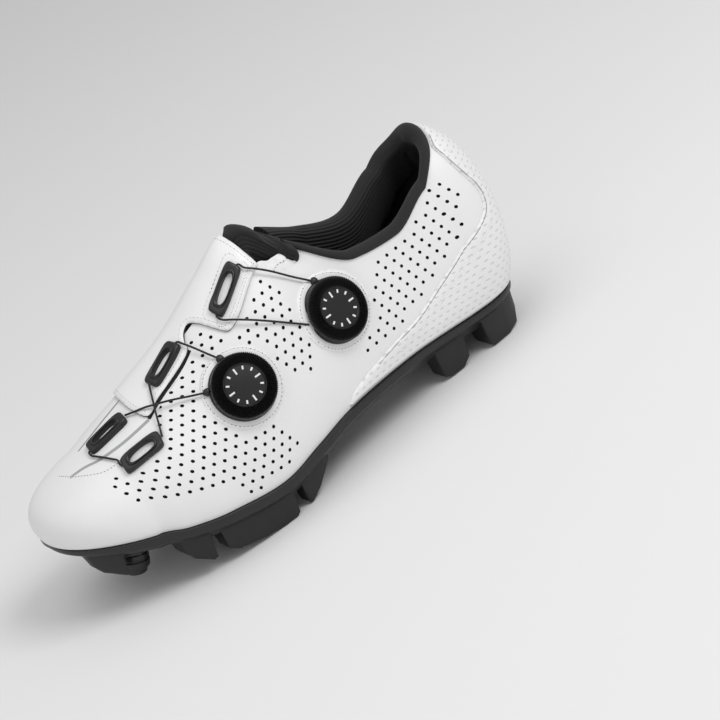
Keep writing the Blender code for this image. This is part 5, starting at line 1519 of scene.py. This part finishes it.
@dataclass
class Sole:
    """Stiff plate with its blocks, studs and cleat bolts."""

    thick: float = 10.0 * MM
    edge: float = 1.9 * MM
    gap: float = 0.3 * MM
    chamfer: float = 2.5 * MM
    heel_stack: float = 22.0 * MM
    taper: float = 1.6 * MM
    slot_length: float = 34.0 * MM
    slot_width: float = 8.5 * MM
    slot_spacing: float = 14.0 * MM
    slot_depth: float = 2.4 * MM
    wall_height: tuple[tuple[float, float], ...] = ((0.0, 2.8), (1.0, 3.4), (1.5, 4.4), (1.8, 5.2), (2.0, 4.6), (3.0, 2.8))
    stand_out: tuple[tuple[float, float], ...] = ((0.0, 0.15), (0.8, 0.6), (1.3, 1.0), (2.0, 0.8), (2.5, 0.2), (3.0, -0.3))
    cleat_x: float = 180.1 * MM
    cleat_y: float = -1.0 * MM
    bolt_spacing: float = 11.5 * MM
    stud_x: float = 237.7 * MM
    stud_offset: float = 15.5 * MM

    def __post_init__(self) -> None:
        """Reads the outline of the seat."""
        qs = np.concatenate([np.linspace(0, 1, 40), np.linspace(1, 2, 120)[1:], np.linspace(2, 3, 40)[1:]])
        self.edges = {side: LAST.seat(side, qs) for side in (OUTER, INNER)}
        self.under = LAST.column("seat", qs) - self.gap - LAST.column("plate", qs)

    def edge_y(self, side: float, x: float) -> float:
        """Plate edge at x."""
        pts = self.edges[side]
        return float(np.interp(x, pts[:, 0], pts[:, 1] + side * self.edge))

    def floor(self, x: float, y: float) -> float:
        """Height of the plate's underside."""
        base = float(np.interp(x, self.edges[OUTER][:, 0], self.under))
        near = min(self.edge_y(OUTER, x) - y, y - self.edge_y(INNER, x))
        return base + self.chamfer * min(1.0, max(0.0, 1.0 - (near - 0.4 * self.chamfer) / self.chamfer))

    @staticmethod
    def across(q: np.ndarray, v: np.ndarray, grow: np.ndarray) -> np.ndarray:
        """Points between the two edges at each station, with the edges moved out by grow."""
        pair = []
        for side in (OUTER, INNER):
            f = LAST.seat(side, q)
            cx = np.where(q < 1, LAST.heel_round, np.where(q > 2, LAST.toe_x, f[..., 0]))
            cy = np.where(q < 1, 0.0, LAST.column("ridge", np.minimum(q, 2.0)))
            round_end = (q < 1) | (q > 2)
            away = np.stack([f[..., 0] - cx, np.where(round_end, f[..., 1] - cy, side), np.zeros_like(q)], -1)
            away /= np.linalg.norm(away, axis=-1, keepdims=True)
            pair.append(f + away * grow[..., None])
        return pair[0] * (1 - v[..., None]) + pair[1] * v[..., None]

    def build(self) -> None:
        """Makes every piece of the sole."""
        self._plate()
        self._insole()
        for lug in LUGS:
            self._lug(lug)
        for name, side in (("outer", OUTER), ("inner", INNER)):
            self._stud(name, side)
            for end, along in (("front", 1), ("rear", -1)):
                self._bolt("%s_%s" % (end, name), along, side)

    def _plate(self) -> None:
        """Makes the plate, with a rounded wall, a thin ledge and two cleat slots."""
        qs = np.concatenate([np.linspace(0, 1, 40), np.linspace(1, 2, 130)[1:], np.linspace(2, 3, 40)[1:]])
        thick = LAST.column("plate", qs)[:, None]
        wall = np.interp(qs, *np.array(self.wall_height).T)[:, None] * MM
        stand = self.edge * np.interp(qs, *np.array(self.stand_out).T)[:, None]
        middle = np.linspace(0.06, 0.94, 22)
        down = np.array([0.0, 0.04, 0.25, 0.50, 0.75, 0.94, 1.0, 1.0, 1.0, 1.0])[None, :]
        bulge = np.array([0.0, 0.30, 0.45, 0.45, 0.38, 0.10, -0.4, -0.4, -0.4, -0.4])[None, :] * MM
        slope = np.array([0.0, 0.0, 0.0, 0.0, 0.0, 0.0, 0.0, 0.33, 0.66, 1.0])[None, :]
        drop = down * wall + slope * (thick - wall)
        grow = stand + bulge - slope * (thick - wall)
        n = down.shape[1]
        v = np.concatenate([np.zeros(n), middle, np.ones(n)])[None, :]
        grow = np.concatenate([grow, np.repeat(grow[:, -1:], len(middle), axis=1), grow[:, ::-1]], axis=1)
        drop = np.concatenate([drop, np.repeat(drop[:, -1:], len(middle), axis=1), drop[:, ::-1]], axis=1)
        q, v = np.broadcast_arrays(qs[:, None], v)
        low = self.across(q, v, grow)
        low[..., 2] -= self.gap + drop
        flat = np.broadcast_to(np.linspace(0, 1, q.shape[1])[None, :], q.shape)
        high = self.across(q, flat, np.broadcast_to(stand, q.shape))
        high[..., 2] -= self.gap
        bm = Grid(q.shape[0] - 1, q.shape[1] - 1).place(low, high)
        bm = self._cut_slots(bm)
        publish("sole_plate_body", bm, (BLACK_PLATE,), ("sole_plate",), 35.0)

    def slot_frame(self, y: float) -> Matrix:
        """Frame on the floor of a cleat slot, at its middle, sloping with the plate."""
        x = self.cleat_x
        tilt = math.atan2(self.floor(x - 0.01, y) - self.floor(x + 0.01, y), 0.02)
        return Matrix.Translation((x, y, self.floor(x, y) + self.slot_depth)) @ Matrix.Rotation(tilt, 4, "Y")

    def _cut_slots(self, bm: bmesh.types.BMesh) -> bmesh.types.BMesh:
        """Returns the plate's mesh with the two cleat slots cut in its underside."""
        bmesh.ops.recalc_face_normals(bm, faces=bm.faces)
        mesh = bpy.data.meshes.new("plate_blank")
        bm.to_mesh(mesh)
        bm.free()
        blank = bpy.data.objects.new("plate_blank", mesh)
        helpers = [blank]
        bpy.context.scene.collection.objects.link(blank)
        for side in (1, -1):
            cutter = bmesh.new()
            half = self.slot_width / 2
            bmesh.ops.create_cone(cutter, cap_ends=True, segments=48, radius1=half, radius2=half, depth=0.02)
            for v in cutter.verts:
                v.co.x += math.copysign((self.slot_length - self.slot_width) / 2, v.co.x)
            place = self.slot_frame(self.cleat_y + side * self.slot_spacing / 2) @ Matrix.Translation((0, 0, -0.01))
            bmesh.ops.transform(cutter, matrix=place, verts=cutter.verts)
            shape = bpy.data.meshes.new("slot_cutter")
            cutter.to_mesh(shape)
            cutter.free()
            helper = bpy.data.objects.new("slot_cutter", shape)
            bpy.context.scene.collection.objects.link(helper)
            helpers.append(helper)
            cut = blank.modifiers.new("slot", "BOOLEAN")
            cut.operation, cut.solver, cut.object = "DIFFERENCE", "EXACT", helper
        bpy.context.view_layer.update()
        out = bmesh.new()
        out.from_object(blank, bpy.context.evaluated_depsgraph_get())
        for helper in helpers:
            data = helper.data
            bpy.data.objects.remove(helper, do_unlink=True)
            bpy.data.meshes.remove(data)
        return out

    def _insole(self) -> None:
        """Makes the insole, slightly dished."""
        qs = np.concatenate([np.linspace(0.06, 1, 16), np.linspace(1, 2, 60)[1:], np.linspace(2, 2.95, 16)[1:]])
        v = np.linspace(0, 1, 25)
        q, v = np.broadcast_arrays(qs[:, None], v[None, :])
        low = self.across(q, v, np.full(q.shape, -2.8 * MM))
        high = low.copy()
        low[..., 2] += self.gap
        high[..., 2] += self.gap + 3.0 * MM + 1.6 * MM * np.abs(2 * v - 1) ** 3
        bm = Grid(q.shape[0] - 1, q.shape[1] - 1).place(high, low)
        publish("insole_sheet", bm, (BLACK_INSOLE,), ("insole",), 50.0)

    def _lug(self, lug: "Lug") -> None:
        """Makes one tread block with bevelled edges and a sunk field in its tread."""
        xs = [x * LAST.length for x, _ in lug.rows]
        nu, nv = len(xs) - 1, 2
        top, foot = np.zeros((nu + 1, nv + 1, 3)), np.zeros((nu + 1, nv + 1, 3))
        for i in range(nu + 1):
            for j in range(nv + 1):
                for down, layer in ((0, top), (1, foot)):
                    x = xs[i] + (self.taper if i == 0 else -self.taper if i == nu else 0.0) * down
                    near = lug.inset * LAST.ball_width + self.taper * down
                    far = (lug.inset + lug.width) * LAST.ball_width - self.taper * down
                    y = self.edge_y(lug.side, x) - lug.side * (near, max(near + 0.6 * MM, 0.5 * (near + far)), far)[j]
                    seat = float(np.interp(x, self.edges[OUTER][:, 0], self.edges[OUTER][:, 2]))
                    z = lug.rows[i][1] * self.heel_stack if down else seat - self.gap - 1.2 * MM
                    layer[i, j] = (x, y, z)
        bm = Grid(nu, nv).place(foot, top)
        bmesh.ops.recalc_face_normals(bm, faces=bm.faces)
        tread = [f for f in bm.faces if f.normal.z < -0.6]
        if lug.sunk and tread:
            bmesh.ops.inset_region(bm, faces=tread, thickness=2.6 * MM, use_even_offset=True)
            for v in {v for f in tread for v in f.verts}:
                v.co.z += lug.sunk
        edges = [e for e in bm.edges if len(e.link_faces) == 2 and e.calc_face_angle(0.0) > 0.5]
        bmesh.ops.bevel(bm, geom=edges, offset=1.1 * MM, segments=3, profile=0.5, affect="EDGES", material=-1,
                        clamp_overlap=True)
        publish("tread_" + lug.name, bm, (BLACK_RUBBER,), ("lug_" + lug.name,), 40.0)

    def _stud(self, name: str, side: float) -> None:
        """Makes a toe stud: a six-sided foot under a ringed round cap."""
        x, y = self.stud_x, float(LAST.column("ridge", 2.0)) * 0.6 + side * self.stud_offset
        lean = math.atan2(self.floor(x + 0.004, y) - self.floor(x - 0.004, y), 0.008)
        place = Matrix.Translation((x, y, self.floor(x, y))) @ Matrix.Rotation(-lean, 4, "Y")
        bm = bmesh.new()
        foot = bmesh.ops.create_cone(bm, cap_ends=True, segments=6, radius1=8.0 * MM, radius2=8.8 * MM, depth=6.4 * MM,
                                     matrix=Matrix.Translation((0, 0, -2.9 * MM)))
        edges = list({e for v in foot["verts"] for e in v.link_edges})
        bmesh.ops.bevel(bm, geom=edges, offset=0.5 * MM, segments=2, profile=0.5, affect="EDGES", material=-1)
        cap = Turned(72, ((6.2, -5.9, 0, 0), (6.9, -6.6, 0, 0), (7.0, -8.6, 0, 0), (6.6, -9.0, 0, 0),
                          (6.6, -9.6, 0, 0), (7.0, -10.0, 0, 0), (6.9, -12.6, 0, 0), (6.4, -13.4, 0, 0),
                          (5.6, -13.6, 0, 0), (5.3, -14.3, 0, 0), (5.0, -15.9, 0, 0), (4.3, -16.5, 0, 0),
                          (1.5, -16.5, 0, 0))).mesh()
        join(bm, cap)
        bmesh.ops.transform(bm, matrix=place, verts=bm.verts)
        publish("toe_stud_" + name, bm, (STUD_BLACK,), ("stud_" + name,), 35.0)

    def _bolt(self, name: str, along: int, side: float) -> None:
        """Makes a round-headed cleat bolt with a six-sided socket."""
        bm = Turned(48, ((3.6, -0.3, 0, 0), (3.6, -2.2, 0, 0), (3.4, -2.75, 0, 0), (3.0, -3.0, 0, 0),
                         (2.0, -3.0, 0, 0), (1.9, -2.9, 0, 0))).mesh()
        cap = min(bm.faces, key=lambda f: f.calc_center_median().z)
        for v in cap.verts:
            a = math.atan2(v.co.y, v.co.x)
            r = 1.7 * MM / math.cos((a + math.pi / 6) % (math.pi / 3) - math.pi / 6)
            v.co.x, v.co.y = r * math.cos(a), r * math.sin(a)
        sunk = bmesh.ops.extrude_discrete_faces(bm, faces=[cap])["faces"]
        for v in sunk[0].verts:
            v.co.z += 1.5 * MM
        place = self.slot_frame(self.cleat_y + side * self.slot_spacing / 2)
        place = place @ Matrix.Translation((along * self.bolt_spacing / 2, 0, 0))
        bmesh.ops.transform(bm, matrix=place, verts=bm.verts)
        publish("cleat_bolt_" + name, bm, (BOLT_STEEL,), ("bolt_" + name,), 35.0)


def join(bm: bmesh.types.BMesh, other: bmesh.types.BMesh) -> None:
    """Adds another mesh to a mesh and frees it."""
    mesh = bpy.data.meshes.new("joined")
    other.to_mesh(mesh)
    other.free()
    bm.from_mesh(mesh)
    bpy.data.meshes.remove(mesh)


@dataclass(frozen=True)
class Lug:
    """One tread block: rows give share of the last's length and tread height as a share of the heel stack."""

    name: str
    side: float
    inset: float
    width: float
    sunk: float
    rows: tuple[tuple[float, float], ...]


HEEL_REAR = ((0.022, 0.30), (0.045, 0.03), (0.075, 0.00), (0.118, 0.00), (0.130, 0.10))
HEEL_FRONT = ((0.165, 0.16), (0.190, 0.00), (0.222, 0.00), (0.242, 0.10))
TOE_ROWS = ((0.926, 0.78), (0.938, 0.82), (0.962, 1.02), (0.976, 1.20))
LUGS = (
    Lug("heel_rear_outer", OUTER, 0.030, 0.20, 0.8 * MM, HEEL_REAR),
    Lug("heel_front_outer", OUTER, 0.045, 0.17, 0.8 * MM, HEEL_FRONT),
    Lug("arch_outer", OUTER, 0.040, 0.15, 0.0, ((0.525, 0.55), (0.570, 0.16), (0.597, 0.00), (0.610, 0.00))),
    Lug("ball_outer", OUTER, 0.028, 0.16, 1.2 * MM,
        ((0.626, 0.06), (0.640, 0.00), (0.665, 0.00), (0.710, 0.07), (0.760, 0.20), (0.780, 0.32))),
    Lug("mid_outer", OUTER, 0.028, 0.19, 0.8 * MM, ((0.792, 0.30), (0.806, 0.27), (0.832, 0.50), (0.845, 0.66))),
    Lug("toe_outer", OUTER, 0.060, 0.10, 0.0, TOE_ROWS),
    Lug("heel_rear_inner", INNER, 0.030, 0.20, 0.8 * MM, HEEL_REAR),
    Lug("heel_front_inner", INNER, 0.045, 0.17, 0.8 * MM, HEEL_FRONT),
    Lug("arch_inner", INNER, 0.040, 0.15, 0.0, ((0.545, 0.55), (0.585, 0.16), (0.612, 0.00), (0.625, 0.00))),
    Lug("ball_inner", INNER, 0.028, 0.16, 1.2 * MM,
        ((0.641, 0.06), (0.652, 0.00), (0.674, 0.00), (0.720, 0.08), (0.765, 0.22), (0.785, 0.34))),
    Lug("mid_inner", INNER, 0.028, 0.19, 0.8 * MM, ((0.796, 0.32), (0.809, 0.29), (0.835, 0.52), (0.848, 0.68))),
    Lug("toe_inner", INNER, 0.060, 0.10, 0.0, TOE_ROWS),
)


# Room


@dataclass
class Studio:
    """Pale floor, soft lights and the camera."""

    aim: Vector = field(default_factory=lambda: Vector((-0.0325, 0.0162, 0.0337)))
    azimuth: float = 155.0
    elevation: float = 25.0
    roll: float = -25.73
    distance: float = 1.153
    lens: float = 120.0

    def build(self) -> None:
        """Makes the room."""
        bm = bmesh.new()
        bmesh.ops.create_grid(bm, x_segments=1, y_segments=1, size=6.0)
        bmesh.ops.translate(bm, verts=bm.verts, vec=(0, 0, -0.0004))
        mesh = bpy.data.meshes.new("floor")
        bm.to_mesh(mesh)
        bm.free()
        floor = bpy.data.objects.new("floor", mesh)
        mesh.materials.append(FLOOR_PALE.material())
        bpy.context.scene.collection.objects.link(floor)
        self._light("key", (-0.55, 0.75, 1.2), 0.7, 9.5)
        self._light("top", (0.5, 0.1, 1.5), 1.2, 4.5)
        self._light("fill", (1.2, 0.9, 0.6), 0.9, 2.3)
        world = bpy.data.worlds.new("studio")
        world.use_nodes = True
        world.node_tree.nodes["Background"].inputs["Color"].default_value = (1.0, 1.0, 1.0, 1.0)
        world.node_tree.nodes["Background"].inputs["Strength"].default_value = 0.50
        bpy.context.scene.world = world
        bpy.context.scene.view_settings.view_transform = "Standard"
        self._camera()

    def _light(self, name: str, place: tuple[float, float, float], size: float, power: float) -> None:
        """Adds a soft lamp that faces the shoe."""
        lamp = bpy.data.lights.new(name, "AREA")
        lamp.shape = "SQUARE"
        lamp.size = size
        lamp.energy = power
        obj = bpy.data.objects.new(name, lamp)
        obj.location = place
        obj.rotation_euler = (Vector((0, 0, 0.05)) - Vector(place)).to_track_quat("-Z", "Y").to_euler()
        bpy.context.scene.collection.objects.link(obj)

    def _camera(self) -> None:
        """Adds the camera, rolled as the photograph is."""
        a, e, r = (math.radians(v) for v in (self.azimuth, self.elevation, self.roll))
        back = Vector((math.sin(a) * math.cos(e), -math.cos(a) * math.cos(e), math.sin(e)))
        data = bpy.data.cameras.new("camera")
        data.lens = self.lens
        data.sensor_width = 36.0
        data.clip_start = 0.05
        camera = bpy.data.objects.new("camera", data)
        look = back.to_track_quat("Z", "Y").to_matrix().to_4x4()
        camera.matrix_world = Matrix.Translation(self.aim + back * self.distance) @ look @ Matrix.Rotation(r, 4, "Z")
        bpy.context.scene.collection.objects.link(camera)
        bpy.context.scene.camera = camera


def main() -> None:
    """Builds the shoe and its room in order."""
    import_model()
    upper = Upper()
    LOG.info("built %s", upper.build().name)
    ground = last_tree()
    Overlays(ground).build()
    LOG.info("built %s", Collar().build().name)
    LOG.info("built %s", Tongue(upper).build().name)
    dials = {"rear": Dial("rear", ground, (-90.0, -7.0)), "front": Dial("front", ground, (-88.0, -28.0))}
    for dial in dials.values():
        dial.build()
    for guide in GUIDES:
        guide.build()
    Laces(ground, dials).build()
    Sole().build()
    Studio().build()


if __name__ == "__main__":
    logging.basicConfig(level=logging.INFO, format="%(message)s")
    main()
